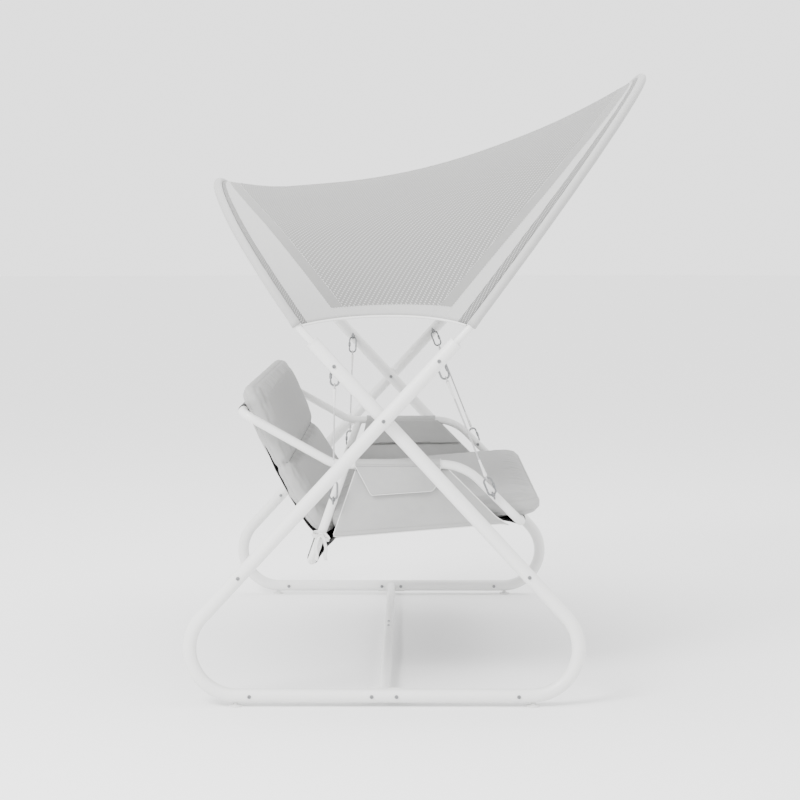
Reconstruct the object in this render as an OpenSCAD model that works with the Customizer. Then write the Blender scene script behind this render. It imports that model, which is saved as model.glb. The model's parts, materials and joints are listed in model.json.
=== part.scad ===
// Canopy garden swing: a wide bench hung on four wire ropes inside a stand of
// crossed tube legs, under a saddle-shaped mesh canopy stretched between two arches.
// +X is the way the sitter faces, +Y is the sitter's left, +Z is up.
// The origin is on the floor, under the middle of the whole object's box.

/* [Stand] */
// Distance between the middles of the two side frames
frame_spacing = 1720; // [1600:10:1840]
// Outer diameter of the leg and base tubes
leg_tube_d = 38; // [36:1:40]
// Wall thickness of every steel tube
wall = 1.5; // [1.2:0.1:1.8]
// Slope of the legs above the floor, in degrees
leg_angle = 47.3; // [46:0.1:49]
// Distance from the middle of the base to the centre of each lower bend
bend_x = 403; // [395:1:410]
// Bend radius of the lower bends, to the tube's axis
bend_r = 130; // [125:1:135]
// Length of each straight leg, from the end of its bend to its top
leg_len = 1020; // [1010:1:1030]
// Height of the space under the base tubes
foot_h = 10; // [9:1:14]
// Diameter of the cross tube's right half
cross_tube_d = 32; // [30:1:34]

/* [Canopy] */
// Outer diameter of the arch tubes
arch_tube_d = 20; // [18:1:22]
// Slope of the front arch's plane, in degrees
front_arch_slope = 53.2; // [51:0.1:55]
// Straight stretch at each end of the front arch
front_arch_straight = 26; // [20:1:50]
// Slope of the rear arch's plane, in degrees
rear_arch_slope = 55.5; // [53:0.1:57]
// Radius of the rear arch's side bends
rear_side_r = 380; // [360:5:400]
// Sweep of each of the rear arch's side bends, in degrees
rear_side_sweep = 61.5; // [59:0.5:63]
// Depth of the canopy's sag along its ridge
ridge_sag = 112; // [90:1:125]
// Height that the middle of each lower edge is cut up by
edge_rise = 32; // [20:1:60]

/* [Hangers] */
// Wire diameter of the snap hooks
hook_wire_d = 5.6; // [5:0.1:6]
// Length of each snap hook
hook_len = 60; // [58:1:62]
// Width of each snap hook
hook_w = 28; // [27:1:30]
// Diameter of the wire ropes
rope_d = 4.5; // [4:0.1:5]

/* [Seat] */
// Outer diameter of the seat frame's tubes
seat_tube_d = 25; // [24:0.5:26]
// Distance from the middle plane to the middle of each seat side tube
seat_half_w = 676; // [670:1:680]
// Height of the armrest tubes' axis
arm_z = 646; // [640:1:650]
// Width of both cushions
cushion_w = 1250; // [1200:10:1254]
// Thickness of the back cushion
back_thick = 55; // [50:1:55]
// Thickness of the seat cushion
seat_thick = 47; // [44:1:48]

/* [Hidden] */
$fn = 48;
ARC_FN = 240;

WHITE = "#e6e6e4";
PLASTIC = "#d8d8d6";
ZINC = "#8d8f92";
ROPE = "#b9babb";
GREY_CLOTH = "#b9b9b8";
MESH_CLOTH = "#c6c6c5";
BLACK_CLOTH = "#1b1b1c";

// Clearances
slip = 0.3;                 // radial gap of a tube that slides into another
weld_gap = 0.1;             // gap left where a tube's end meets another tube
seam = 0.02;                // hairline ring where a bend begins
hole_gap = 0.25;            // radial gap of a bolt in its hole
cross_gap = 0.6;            // gap between the two legs where they cross

// Stand
base_z = foot_h + leg_tube_d / 2;
base_seam_x = 350;          // seam between a base tube and its bends
base_spigot = 46;           // length of a base tube's reduced end
base_bolt_x = 369;          // bolts that hold those seams
saddle_bolt_x = 34;         // bolts that hold the cross tube's saddles
saddle_len = 95;
saddle_t = 3;
shoulder = 6;               // thick ring where a reduced end begins
leg_seam = 125;             // seam between a bend and its leg
leg_spigot = 60;            // length of a bend's reduced end
leg_bolt = 150;             // bolt that holds that seam
outer_eye = 956;            // eye bolt on each outer leg, from the bend's end
inner_eye = 933;            // eye bolt on each inner leg
arch_start = 1080;          // where each leg's line meets its arch's plane
arch_spigot = 965;          // lowest end of the arch tube inside the leg
cap_rim = 4;                // thickness of an end cap's rim
cap_depth = 45;             // depth of an end cap inside its leg
foot_x = 408;
foot_d = 36;
cross_joint_y = 0;          // seam between the cross tube's halves
cross_left_d = 28;
cross_spigot = 150;
cross_screws = [52, 120];

// The end of a lower bend, and points on the straight leg, in the leg's plane
bend_end = [-bend_x - bend_r * sin(leg_angle), bend_r * (1 + cos(leg_angle))];
cross_s = -bend_end[0] / cos(leg_angle);
lean = asin((leg_tube_d + cross_gap) / 2 / (bend_end[1] + cross_s * sin(leg_angle)));
function leg_x(s) = bend_end[0] + s * cos(leg_angle);
function leg_h(s) = bend_end[1] + s * sin(leg_angle);
function outer_at(s) = [leg_x(s), -frame_spacing / 2 - leg_h(s) * sin(lean),
                        base_z + leg_h(s) * cos(lean)];
function inner_at(s) = [-leg_x(s), -frame_spacing / 2 + leg_h(s) * sin(lean),
                        base_z + leg_h(s) * cos(lean)];

// Arches: a straight stretch, a side bend and a crown bend on each side
front_start = outer_at(arch_start);
rear_start = inner_at(arch_start);
front_half_w = -front_start[1];
rear_half_w = -rear_start[1];
front_side_r = front_half_w;
front_side_sweep = 60;
rear_arch_straight = 6;
arch_root_r = 80;           // small bend between a leg's line and an arch's plane
function crown_r(half, side_r, sweep) = side_r + (half - side_r) / cos(sweep);
front_crown_r = crown_r(front_half_w, front_side_r, front_side_sweep);
rear_crown_r = crown_r(rear_half_w, rear_side_r, rear_side_sweep);
// each arch is [half width, straight, side radius, side sweep, crown radius]
FRONT = [front_half_w, front_arch_straight, front_side_r, front_side_sweep, front_crown_r];
REAR = [rear_half_w, rear_arch_straight, rear_side_r, rear_side_sweep, rear_crown_r];
function arch_rise(a) = a[1] + a[4] - (a[4] - a[2]) * sin(a[3]);
function side_len(a) = a[2] * a[3] * PI / 180;
function crown_len(a) = a[4] * (90 - a[3]) * PI / 180;
function half_len(a) = a[1] + side_len(a) + crown_len(a);
front_tilt = 180 - front_arch_slope;
rear_tilt = rear_arch_slope;
front_rise_dir = [cos(front_arch_slope), 0, sin(front_arch_slope)];
rear_rise_dir = [-cos(rear_arch_slope), 0, sin(rear_arch_slope)];
sleeve_gap = 0.3;
sleeve_t = 2.4;
sleeve_d = arch_tube_d + 2 * (sleeve_gap + sleeve_t);
sleeve_from = 3;            // bare arch tube below each end of a sleeve
apex_x = front_start[0] + arch_rise(FRONT) * front_rise_dir[0];

// Middle of the whole object's length
front_reach = apex_x + sleeve_d / 2;
rear_reach = bend_x + bend_r + leg_tube_d / 2;
centre_x = (front_reach - rear_reach) / 2;

// Points along an arch, t from 0 at the right end to 1 at the left end
function arch_side(a, l) =
    l < a[1] ? [-a[0], l]
    : l < a[1] + side_len(a)
        ? let (w = (l - a[1]) / a[2] * 180 / PI)
          [-a[0] + a[2] * (1 - cos(w)), a[1] + a[2] * sin(w)]
        : let (w = a[3] + (l - a[1] - side_len(a)) / a[4] * 180 / PI)
          [-a[4] * cos(w), a[1] - (a[4] - a[2]) * sin(a[3]) + a[4] * sin(w)];
function arch_point(a, start, rise_dir, t) =
    let (l = (t < 0.5 ? t : 1 - t) * 2 * half_len(a), p = arch_side(a, l))
    [start[0] + p[1] * rise_dir[0], (t < 0.5 ? 1 : -1) * p[0], start[2] + p[1] * rise_dir[2]];

// Canopy surface: straight lines between the arches, pulled in by the cloth's tension
canopy_t = 3;
canopy_edge_gap = 1.5;      // from a sleeve's side to the canopy's edge
canopy_rows = 12;
canopy_cols = 32;
canopy_end_t = 0.003;       // where the canopy's lower edges start along the arches
side_sag_share = 0.5;       // sag of the sides as a share of the ridge's
function unit(v) = v / norm(v);
function bow(s) = 4 * s * (1 - s);
function edge_t(s) = canopy_end_t + bow(s) * edge_rise / (half_len(FRONT) + half_len(REAR));
// Sine of the angle between the direction u and an arch at q
function slant(a, start, rise_dir, q, u) =
    let (d = 0.002)
    norm(cross(u, unit(arch_point(a, start, rise_dir, q + d)
                       - arch_point(a, start, rise_dir, q - d))));
function canopy_mid(t, s) =
    let (q = edge_t(s) + (1 - 2 * edge_t(s)) * t,
         f = arch_point(FRONT, front_start, front_rise_dir, q),
         r = arch_point(REAR, rear_start, rear_rise_dir, q),
         u = unit(f - r),
         inset = sleeve_d / 2 + canopy_edge_gap,
         a = r + inset / slant(REAR, rear_start, rear_rise_dir, q, u) * u,
         b = f - inset / slant(FRONT, front_start, front_rise_dir, q, u) * u,
         share = side_sag_share + (1 - side_sag_share) * sin(180 * q),
         inward = [0, cos(180 * q) * (q < 0 ? 0 : 1), -sin(180 * q)])
    a + s * (b - a) + ridge_sag * share * bow(s) * inward;
function canopy_normal(t, s) =
    let (d = 0.01, t0 = max(t - d, 0), t1 = min(t + d, 1), s0 = max(s - d, 0), s1 = min(s + d, 1))
    unit(cross(canopy_mid(t1, s) - canopy_mid(t0, s), canopy_mid(t, s1) - canopy_mid(t, s0)));

// Ropes and snap hooks
eye_wire = 5;
eye_r = 9.5;                // radius of an eye, to its wire's middle
eye_stand_off = 16;         // from a tube's surface to the middle of its eye
bolt_r = 3;
hook_gap = 0.3;
hook_bow_r = (hook_w - hook_wire_d) / 2;
hook_straight = hook_len - hook_w;
hook_over = eye_wire / 2 + hook_gap + hook_wire_d / 2;  // hook's wire past the pivot
near_bow = hook_bow_r - hook_over;          // middle of a hook's bow at the eye bolt
far_bow = near_bow + hook_straight;         // middle of its bow at the rope
rope_eye_r = 7;
rope_eye_wire = 4;
rope_eye_at = far_bow + hook_bow_r - hook_wire_d / 2 - hook_gap - rope_eye_wire / 2 + rope_eye_r;
collar_at = rope_eye_at + rope_eye_r;
collar_len = 9;
collar_d = 10;
ferrule_len = 45;
gate_pin_r = 1;
gate_pin_gap = 0.06;
gate_pin_z = 4;             // gate's pin, above the middle of the hook's far bow
gate_d = 4.6;
tongue_t = 2.2;             // thickness of the tongue that a gate turns on
slot_t = 2.8;               // width of the slot in a gate

// Seat frame, in the side view
upper_rear = [-402, 792];
arm_rear = [-142, arm_z];
arm_front = [220, arm_z];
front_low = [385, 480];
side_top = [-109.3, arm_z];
lower_rear = [-208, 368];
corner_r = 45;
arm_rear_r = 100;
arm_front_r = 152;
lower_corner_r = 40;
joint_y = 606;              // seams between the seat's side and cross tubes
seat_spigot = 22;
function on_line(p, q, z) = p + (q - p) * (z - p[1]) / (q[1] - p[1]);
rear_eye = on_line(side_top, lower_rear, 547);
front_eye = on_line(arm_front, front_low, 561);

// Where each right-hand rope's upper and lower eye is
upper_rear_eye = inner_at(inner_eye) + [0, leg_tube_d / 2 + eye_stand_off, 0];
upper_front_eye = outer_at(outer_eye) + [0, leg_tube_d / 2 + eye_stand_off, 0];
lower_eye_y = -seat_half_w - seat_tube_d / 2 - eye_stand_off;
lower_rear_eye = [rear_eye[0], lower_eye_y, rear_eye[1]];
lower_front_eye = [front_eye[0], lower_eye_y, front_eye[1]];
// The lower front hooks hang a little lower in their eyes, which leaves them room
// for the small shift that the four links make there as the seat swings
front_slack = 0.8;
lower_front_hook = lower_front_eye + front_slack * unit(lower_front_eye - upper_front_eye);

// Sling and cushions, in the side view
sling_t = 3;
sling_w = 1250;
pocket_gap = 0.4;
pocket_r = seat_tube_d / 2 + pocket_gap + sling_t / 2;
strip_r = pocket_r - 0.5;   // where a strip runs into its pocket
back_slope = 66.6;
sling_back = [upper_rear + strip_r * [sin(back_slope), cos(back_slope)],
              [-313, 623], [-238, 486], [-199, 440], lower_rear + [strip_r, 4]];
sling_seat = [lower_rear + strip_r * [0.81, -0.59], [-140, 438], [322, 480],
              front_low + [-4, -strip_r]];
back_line = [[-374, 838], [-283, 639], [-210, 507], [-170, 466]];
seat_line = [[-112, 477], [421, 523]];
panel_t = 3;
panel_outline = [[-81, 629], [-149, 446], [-136, 439], [328, 479], [352, 473],
                 [314, 496], [178, 629]];
cover_r = seat_tube_d / 2 + 0.5;
cover_t = 2.5;
cover_from = -84;
cover_to = 157;
flap_outline = [[-84, arm_z], [-38, 560], [134, 572], [149, 595], [157, arm_z]];

// ---- shared shapes ----

// A ring or, where the wall fills it, a disc
module ring(d, t) {
    difference() {
        circle(d = d);
        if (2 * t < d) circle(d = d - 2 * t);
    }
}

module pipe(len, d, t) {
    difference() {
        cylinder(d = d, h = len);
        if (2 * t < d) translate([0, 0, -1]) cylinder(d = d - 2 * t, h = len + 2);
    }
}

// A pipe from point p to point q
module pipe_between(p, q, d, t) {
    v = q - p;
    translate(p) rotate([0, acos(v[2] / norm(v)), atan2(v[1], v[0])]) pipe(norm(v), d, t);
}

// A bend at corner p, from direction a to direction b
module pipe_bend(p, a, b, r, d, t) {
    turn = acos(a * b);
    m = unit(b - (a * b) * a);
    n = cross(a, m);
    c = p - a * r * tan(turn / 2) + r * m;
    multmatrix([[-m[0], a[0], n[0], c[0]], [-m[1], a[1], n[1], c[1]],
                [-m[2], a[2], n[2], c[2]], [0, 0, 0, 1]])
        rotate_extrude(angle = turn, $fn = ARC_FN) translate([r, 0]) ring(d, t);
}

// A short ring inside a tube's wall that joins its straight and its bend
module bridge(p, v, d, t) {
    pipe_between(p - 2 * v, p + 2 * v, d - 0.6 * t, 0.4 * t);
}

function turn_at(pts, i) =
    i == 0 || i == len(pts) - 1 ? 0
    : acos(unit(pts[i] - pts[i - 1]) * unit(pts[i + 1] - pts[i]));
function set_back(pts, radii, i) = radii[i] * tan(turn_at(pts, i) / 2);

// A bent tube through the corners pts
module bent_pipe(pts, radii, d, t) {
    for (i = [0 : len(pts) - 2]) {
        u = unit(pts[i + 1] - pts[i]);
        p = pts[i] + u * set_back(pts, radii, i);
        q = pts[i + 1] - u * set_back(pts, radii, i + 1);
        pipe_between(p + (i > 0 ? seam : 0) * u,
                     q - (i < len(pts) - 2 ? seam : 0) * u, d, t);
        if (i > 0) bridge(p, u, d, t);
        if (i < len(pts) - 2) bridge(q, u, d, t);
    }
    for (i = [1 : len(pts) - 2])
        pipe_bend(pts[i], unit(pts[i] - pts[i - 1]), unit(pts[i + 1] - pts[i]), radii[i], d, t);
}

// The reduced end of a tube, which slides into the next one
module spigot(len, d, t) {
    translate([0, 0, -shoulder]) pipe(shoulder, d, 2 * t + slip);
    pipe(len, d - 2 * (t + slip), t);
}

module left_side() {
    mirror([0, 1, 0]) children();
}

module both_sides() {
    children();
    mirror([0, 1, 0]) children();
}

// Moves the middle of the base to its place beside the origin
module placed() {
    translate([-centre_x, 0, 0]) children();
}

module drill(p, r, h) {
    translate(p) rotate([90, 0, 0]) cylinder(r = r, h = h, center = true);
}

// ---- stand ----

module outer_frame() {
    translate([0, -frame_spacing / 2, base_z]) rotate([lean, 0, 0]) children();
}

module inner_frame() {
    translate([0, -frame_spacing / 2, base_z]) rotate([-lean, 0, 0])
        mirror([1, 0, 0]) children();
}

module along_leg(s) {
    translate([bend_end[0], 0, bend_end[1]]) rotate([0, 90 - leg_angle, 0])
        translate([0, 0, s]) children();
}

module lower_bend() {
    translate([-base_seam_x, 0, 0]) rotate([0, -90, 0])
        pipe(bend_x - base_seam_x - seam, leg_tube_d, wall);
    bridge([-bend_x, 0, 0], [1, 0, 0], leg_tube_d, wall);
    translate([-bend_x, 0, bend_r]) rotate([90, 0, 0]) rotate([0, 0, leg_angle - 270])
        rotate_extrude(angle = 180 - leg_angle, $fn = ARC_FN)
            translate([bend_r, 0]) ring(leg_tube_d, wall);
    along_leg(0) {
        translate([0, 0, seam]) pipe(leg_seam - shoulder - seam, leg_tube_d, wall);
        bridge([0, 0, 0], [0, 0, 1], leg_tube_d, wall);
    }
    along_leg(leg_seam) spigot(leg_spigot, leg_tube_d, wall);
}

module foot_hole(x) {
    translate([x, -frame_spacing / 2, 0]) cylinder(r = 4.5, h = base_z);
}

module rear_bend() {
    difference() {
        outer_frame() lower_bend();
        foot_hole(-foot_x);
        drill([-base_bolt_x, -frame_spacing / 2, base_z], bolt_r + hole_gap, 60);
        drill(outer_at(leg_bolt), bolt_r + hole_gap, 60);
    }
}

module front_bend() {
    difference() {
        inner_frame() lower_bend();
        foot_hole(foot_x);
        drill([base_bolt_x, -frame_spacing / 2, base_z], bolt_r + hole_gap, 60);
        drill(inner_at(leg_bolt), bolt_r + hole_gap, 60);
    }
}

module base_tube() {
    difference() {
        translate([0, -frame_spacing / 2, base_z]) rotate([0, 90, 0]) {
            translate([0, 0, -base_seam_x + shoulder])
                pipe(2 * (base_seam_x - shoulder), leg_tube_d, wall);
            for (m = [0, 1]) mirror([0, 0, m]) translate([0, 0, base_seam_x])
                spigot(base_spigot, leg_tube_d, wall);
        }
        for (x = [-base_bolt_x, -saddle_bolt_x, saddle_bolt_x, base_bolt_x])
            drill([x, -frame_spacing / 2, base_z], bolt_r + hole_gap, 60);
    }
}

module leg_tube() {
    along_leg(leg_seam) pipe(leg_len - leg_seam, leg_tube_d, wall);
}

module outer_leg() {
    difference() {
        outer_frame() leg_tube();
        for (s = [leg_bolt, cross_s, outer_eye]) drill(outer_at(s), bolt_r + hole_gap, 60);
    }
}

module inner_leg() {
    difference() {
        inner_frame() leg_tube();
        for (s = [leg_bolt, cross_s, inner_eye]) drill(inner_at(s), bolt_r + hole_gap, 60);
    }
}

module leg_end_cap() {
    along_leg(leg_len) difference() {
        union() {
            cylinder(d = leg_tube_d + 1.6, h = cap_rim);
            translate([0, 0, -cap_depth])
                cylinder(d = leg_tube_d - 2 * wall - 0.2, h = cap_depth);
        }
        translate([0, 0, -cap_depth - 1])
            cylinder(d = arch_tube_d + 0.4, h = cap_depth + cap_rim + 2);
    }
}

module cross_tube_near() {
    difference() {
        union() {
            translate([0, cross_joint_y, base_z]) rotate([90, 0, 0])
                translate([0, 0, 8]) pipe(frame_spacing / 2 - 8, cross_tube_d, wall);
            // rounded shoulder and the reduced end that enters the other half
            translate([0, cross_joint_y, base_z]) rotate([90, 0, 0]) difference() {
                cylinder(r1 = cross_left_d / 2 - wall - slip, r2 = cross_tube_d / 2, h = 8);
                translate([0, 0, -1]) cylinder(r = cross_left_d / 2 - 2 * wall - slip, h = 10);
            }
            translate([0, cross_joint_y, base_z]) rotate([-90, 0, 0])
                pipe(cross_spigot, cross_left_d - 2 * (wall + slip), wall);
        }
        translate([0, -frame_spacing / 2, base_z]) rotate([0, 90, 0])
            cylinder(r = leg_tube_d / 2 + 0.1 + saddle_t + 0.05, h = 200, center = true);
        for (y = cross_screws) translate([0, cross_joint_y + y, base_z])
            cylinder(r = 2.6, h = 30);
    }
}

module cross_tube_far() {
    difference() {
        translate([0, cross_joint_y + 1, base_z]) rotate([-90, 0, 0])
            pipe(frame_spacing / 2 - 1, cross_left_d, wall);
        translate([0, frame_spacing / 2, base_z]) rotate([0, 90, 0])
            cylinder(r = leg_tube_d / 2 + 0.1 + saddle_t + 0.05, h = 200, center = true);
        for (y = cross_screws) translate([0, cross_joint_y + y, base_z])
            cylinder(r = 2.6, h = 30);
    }
}

// A curved plate that wraps the inner side of a base tube
module cross_tube_saddle() {
    wrap = 65;
    r = leg_tube_d / 2 + 0.1 + saddle_t;
    difference() {
        translate([-saddle_len / 2, -frame_spacing / 2, base_z]) rotate([0, 90, 0])
            pipe(saddle_len, 2 * r, saddle_t);
        translate([-saddle_len, -frame_spacing / 2 - 2 * r + r * cos(wrap), 0])
            cube([2 * saddle_len, 2 * r, 100]);
        for (x = [-saddle_bolt_x, saddle_bolt_x])
            drill([x, -frame_spacing / 2, base_z], bolt_r + hole_gap, 60);
    }
}

// A bolt along Y through p, with its socket head on the right and a domed nut on the left
module cross_bolt(p, right, left) {
    head_r = 5.5;
    head_h = 3.4;
    translate(p + [0, left, 0]) rotate([90, 0, 0]) cylinder(r = bolt_r, h = right + left);
    translate(p + [0, -right, 0]) rotate([90, 0, 0]) difference() {
        cylinder(r1 = head_r, r2 = head_r - 1.3, h = head_h);
        translate([0, 0, 1.2]) cylinder(r = 2.9, h = head_h, $fn = 6);
    }
    translate(p + [0, left, 0]) rotate([-90, 0, 0]) {
        cylinder(r = 5.8, h = 5, $fn = 6);
        cylinder(r = 4.4, h = 8);
    }
}

module side_bolts() {
    tube_r = leg_tube_d / 2 + 0.2;
    for (x = [-base_bolt_x, base_bolt_x])
        cross_bolt([x, -frame_spacing / 2, base_z], tube_r, tube_r);
    for (x = [-saddle_bolt_x, saddle_bolt_x])
        cross_bolt([x, -frame_spacing / 2, base_z], tube_r, tube_r + saddle_t);
    cross_bolt(outer_at(leg_bolt), tube_r, tube_r);
    cross_bolt(inner_at(leg_bolt), tube_r, tube_r);
    cross_bolt((outer_at(cross_s) + inner_at(cross_s)) / 2,
               tube_r + leg_tube_d / 2 + cross_gap, tube_r + leg_tube_d / 2 + cross_gap);
}

module cross_tube_screw(y) {
    translate([0, cross_joint_y + y, base_z]) {
        translate([0, 0, cross_left_d / 2 - 6]) cylinder(r = 2.4, h = 6.2);
        translate([0, 0, cross_left_d / 2 + 0.1]) difference() {
            cylinder(r1 = 4.6, r2 = 3.2, h = 2.6);
            translate([0, 0, 1]) cylinder(r = 1.7, h = 3, $fn = 6);
        }
    }
}

module foot(x) {
    translate([x, -frame_spacing / 2, 0]) {
        cylinder(d = foot_d, h = 2.4);
        translate([0, 0, 2.4]) cylinder(d1 = foot_d, d2 = foot_d - 14, h = 1.6);
        translate([0, 0, 4]) cylinder(r = 7.2, h = foot_h - 6, $fn = 6);
        cylinder(r = 4, h = base_z);
    }
}

// ---- arches and canopy ----

module arch_plane(start, tilt) {
    translate([start[0], 0, start[2]]) rotate([0, tilt, 0]) rotate([0, 0, 90]) children();
}

// The right-hand side bend of an arch, with the ring that joins it to the crown
module arch_side_bend(a, d, t) {
    translate([-a[0] + a[2], a[1], 0]) {
        rotate([0, 0, 180 - a[3]]) {
            rotate_extrude(angle = a[3], $fn = ARC_FN) translate([a[2], 0]) ring(d, t);
            bridge([a[2], 0, 0], [0, 1, 0], d, t);
        }
    }
}

// The crown bend of an arch, over the given sweep from the right
module arch_crown(a, sweep, d, t) {
    gap = seam / a[4] * 180 / PI;
    translate([0, a[1] - (a[4] - a[2]) * sin(a[3]), 0]) rotate([0, 0, 180 - a[3] - gap])
        mirror([0, 1, 0]) rotate_extrude(angle = sweep - gap, $fn = ARC_FN)
            translate([a[4], 0]) ring(d, t);
}

module half_arch(a, start, tilt, rise_dir, foot_point) {
    top = start + a[1] * rise_dir;
    bent_pipe([foot_point, start, top - seam * rise_dir], [0, arch_root_r, 0],
              arch_tube_d, wall);
    bridge(top, rise_dir, arch_tube_d, wall);
    arch_plane(start, tilt) {
        arch_side_bend(a, arch_tube_d, wall);
        arch_crown(a, 90 - a[3], arch_tube_d, wall);
    }
}

module front_arch() {
    half_arch(FRONT, front_start, front_tilt, front_rise_dir, outer_at(arch_spigot));
}

module rear_arch() {
    half_arch(REAR, rear_start, rear_tilt, rear_rise_dir, inner_at(arch_spigot));
}

// A round plug that joins an arch's two halves at its crown
module arch_joint_plug(a, start, tilt) {
    plug_d = arch_tube_d - 2 * (wall + slip);
    plug_sweep = 60 / a[4] * 180 / PI;
    arch_plane(start, tilt) translate([0, a[1] - (a[4] - a[2]) * sin(a[3]), 0])
        rotate([0, 0, 90 - plug_sweep]) rotate_extrude(angle = 2 * plug_sweep, $fn = ARC_FN)
            translate([a[4], 0]) circle(d = plug_d);
}

// The cloth pocket round an arch
module arch_sleeve(a, start, tilt) {
    arch_plane(start, tilt) {
        for (m = [0, 1]) mirror([m, 0, 0]) {
            translate([-a[0], sleeve_from, 0]) rotate([-90, 0, 0])
                pipe(a[1] - sleeve_from - seam, sleeve_d, sleeve_t);
            bridge([-a[0], a[1], 0], [0, 1, 0], sleeve_d, sleeve_t);
            arch_side_bend(a, sleeve_d, sleeve_t);
        }
        arch_crown(a, 180 - 2 * a[3] - seam / a[4] * 180 / PI, sleeve_d, sleeve_t);
    }
}

// A closed sheet between two faces of a grid of points
module grid_solid(top, bottom, rows, cols) {
    n = (rows + 1) * (cols + 1);
    function at(i, j) = i * (rows + 1) + j;
    quads = concat(
        [for (i = [0 : cols - 1], j = [0 : rows - 1])
            [at(i, j), at(i, j + 1), at(i + 1, j + 1), at(i + 1, j)]],
        [for (i = [0 : cols - 1], j = [0 : rows - 1])
            [n + at(i + 1, j), n + at(i + 1, j + 1), n + at(i, j + 1), n + at(i, j)]],
        [for (i = [0 : cols - 1]) [at(i, 0), at(i + 1, 0), n + at(i + 1, 0), n + at(i, 0)]],
        [for (i = [0 : cols - 1])
            [at(i + 1, rows), at(i, rows), n + at(i, rows), n + at(i + 1, rows)]],
        [for (j = [0 : rows - 1]) [at(0, j + 1), at(0, j), n + at(0, j), n + at(0, j + 1)]],
        [for (j = [0 : rows - 1])
            [at(cols, j), at(cols, j + 1), n + at(cols, j + 1), n + at(cols, j)]]);
    triangles = [for (q = quads) each [[q[0], q[1], q[2]], [q[0], q[2], q[3]]]];
    polyhedron(concat(top, bottom), triangles);
}

module canopy_panel() {
    color(MESH_CLOTH) placed() {
        spots = [for (i = [0 : canopy_cols], j = [0 : canopy_rows])
                 [i / canopy_cols, j / canopy_rows]];
        grid_solid([for (p = spots)
                    canopy_mid(p[0], p[1]) + canopy_t / 2 * canopy_normal(p[0], p[1])],
                   [for (p = spots)
                    canopy_mid(p[0], p[1]) - canopy_t / 2 * canopy_normal(p[0], p[1])],
                   canopy_rows, canopy_cols);
    }
}

// A round cord swept along a list of points that lies near one vertical plane
module swept_cord(pts, r, sides) {
    last = len(pts) - 1;
    function tangent(i) = unit(pts[min(i + 1, last)] - pts[max(i - 1, 0)]);
    across = [0, 1, 0];
    rings = [for (i = [0 : last]) let (n = unit(cross(tangent(i), across)), b = cross(tangent(i), n))
             each [for (k = [0 : sides - 1])
                   pts[i] + r * (cos(360 * k / sides) * n + sin(360 * k / sides) * b)]];
    walls = [for (i = [0 : last - 1], k = [0 : sides - 1]) let (m = (k + 1) % sides)
             each [[i * sides + k, (i + 1) * sides + k, (i + 1) * sides + m],
                   [i * sides + k, (i + 1) * sides + m, i * sides + m]]];
    polyhedron(rings, concat(walls, [[for (k = [0 : sides - 1]) k]],
                             [[for (k = [0 : sides - 1]) last * sides + sides - 1 - k]]));
}

module edge_cord() {
    cord_r = 3.5;
    drop = cord_r + 1.2;
    end_s = 0.02;           // bare edge beside each sleeve
    swept_cord([for (j = [0 : canopy_rows]) let (s = end_s + (1 - 2 * end_s) * j / canopy_rows)
                canopy_mid(0, s) - drop * unit(canopy_mid(0.02, s) - canopy_mid(0, s))],
               cord_r, 8);
}

// ---- hangers ----

// Places a child drawn along the rope: Z up, the origin at the upper pivot
module hung(upper, lower) {
    w = unit(lower - upper);
    translate(upper + eye_r * w) turned_to(w) children();
}

// Turns -Z to the direction w, keeping X in the XZ plane
module turned_to(w) {
    rotate([0, atan2(-w[0], -w[2]), 0]) rotate([asin(w[1]), 0, 0]) children();
}

function rope_span(upper, lower) = norm(lower - upper) - 2 * eye_r;

// A ring of wire in the rope's YZ plane
module wire_ring(r, d) {
    rotate([0, 90, 0]) rotate_extrude() translate([r, 0]) circle(d = d);
}

// An eye bolt with its eye at centre and its shank along Y, toward +Y for way = 1
module eye_bolt(centre, w, tube_d, way) {
    face_gap = 0.2;         // between the bolt's flanges and the tube
    back = eye_stand_off + tube_d + face_gap;
    flange_t = 3;
    head_t = 3.4;
    socket_floor = 1.2;
    translate(centre) {
        turned_to(w) wire_ring(eye_r, eye_wire);
        rotate([-90 * way, 0, 0]) {
            translate([0, 0, eye_r]) cylinder(r = bolt_r, h = back - eye_r);
            translate([0, 0, eye_stand_off - face_gap - flange_t])
                cylinder(r = 2 * bolt_r, h = flange_t);
            translate([0, 0, back]) difference() {
                cylinder(r1 = 5.5, r2 = 4.2, h = head_t);
                translate([0, 0, socket_floor]) cylinder(r = 2.9, h = head_t, $fn = 6);
            }
        }
    }
}

// A snap hook without its gate: Z runs from its far bow's middle to its near bow's
module snap_hook(gate_side) {
    gate_x = gate_side * hook_bow_r;
    for (m = [0, 1]) translate([0, 0, m * hook_straight]) rotate([90, 0, 0])
        rotate([0, 0, m ? 0 : 180])
            rotate_extrude(angle = 180) translate([hook_bow_r, 0]) circle(d = hook_wire_d);
    translate([-gate_x, 0, 0]) cylinder(d = hook_wire_d, h = hook_straight);
    translate([gate_x, 0, 0]) {
        cylinder(d = hook_wire_d, h = 1);
        translate([0, 0, hook_straight - 1]) cylinder(d = hook_wire_d, h = 1);
        difference() {
            union() {
                translate([-gate_d / 2, -tongue_t / 2, 0]) cube([gate_d, tongue_t, gate_pin_z]);
                translate([0, tongue_t / 2, gate_pin_z]) rotate([90, 0, 0])
                    cylinder(d = gate_d, h = tongue_t);
            }
            translate([0, hook_wire_d, gate_pin_z]) rotate([90, 0, 0])
                cylinder(r = gate_pin_r + gate_pin_gap, h = 2 * hook_wire_d);
        }
    }
}

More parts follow.
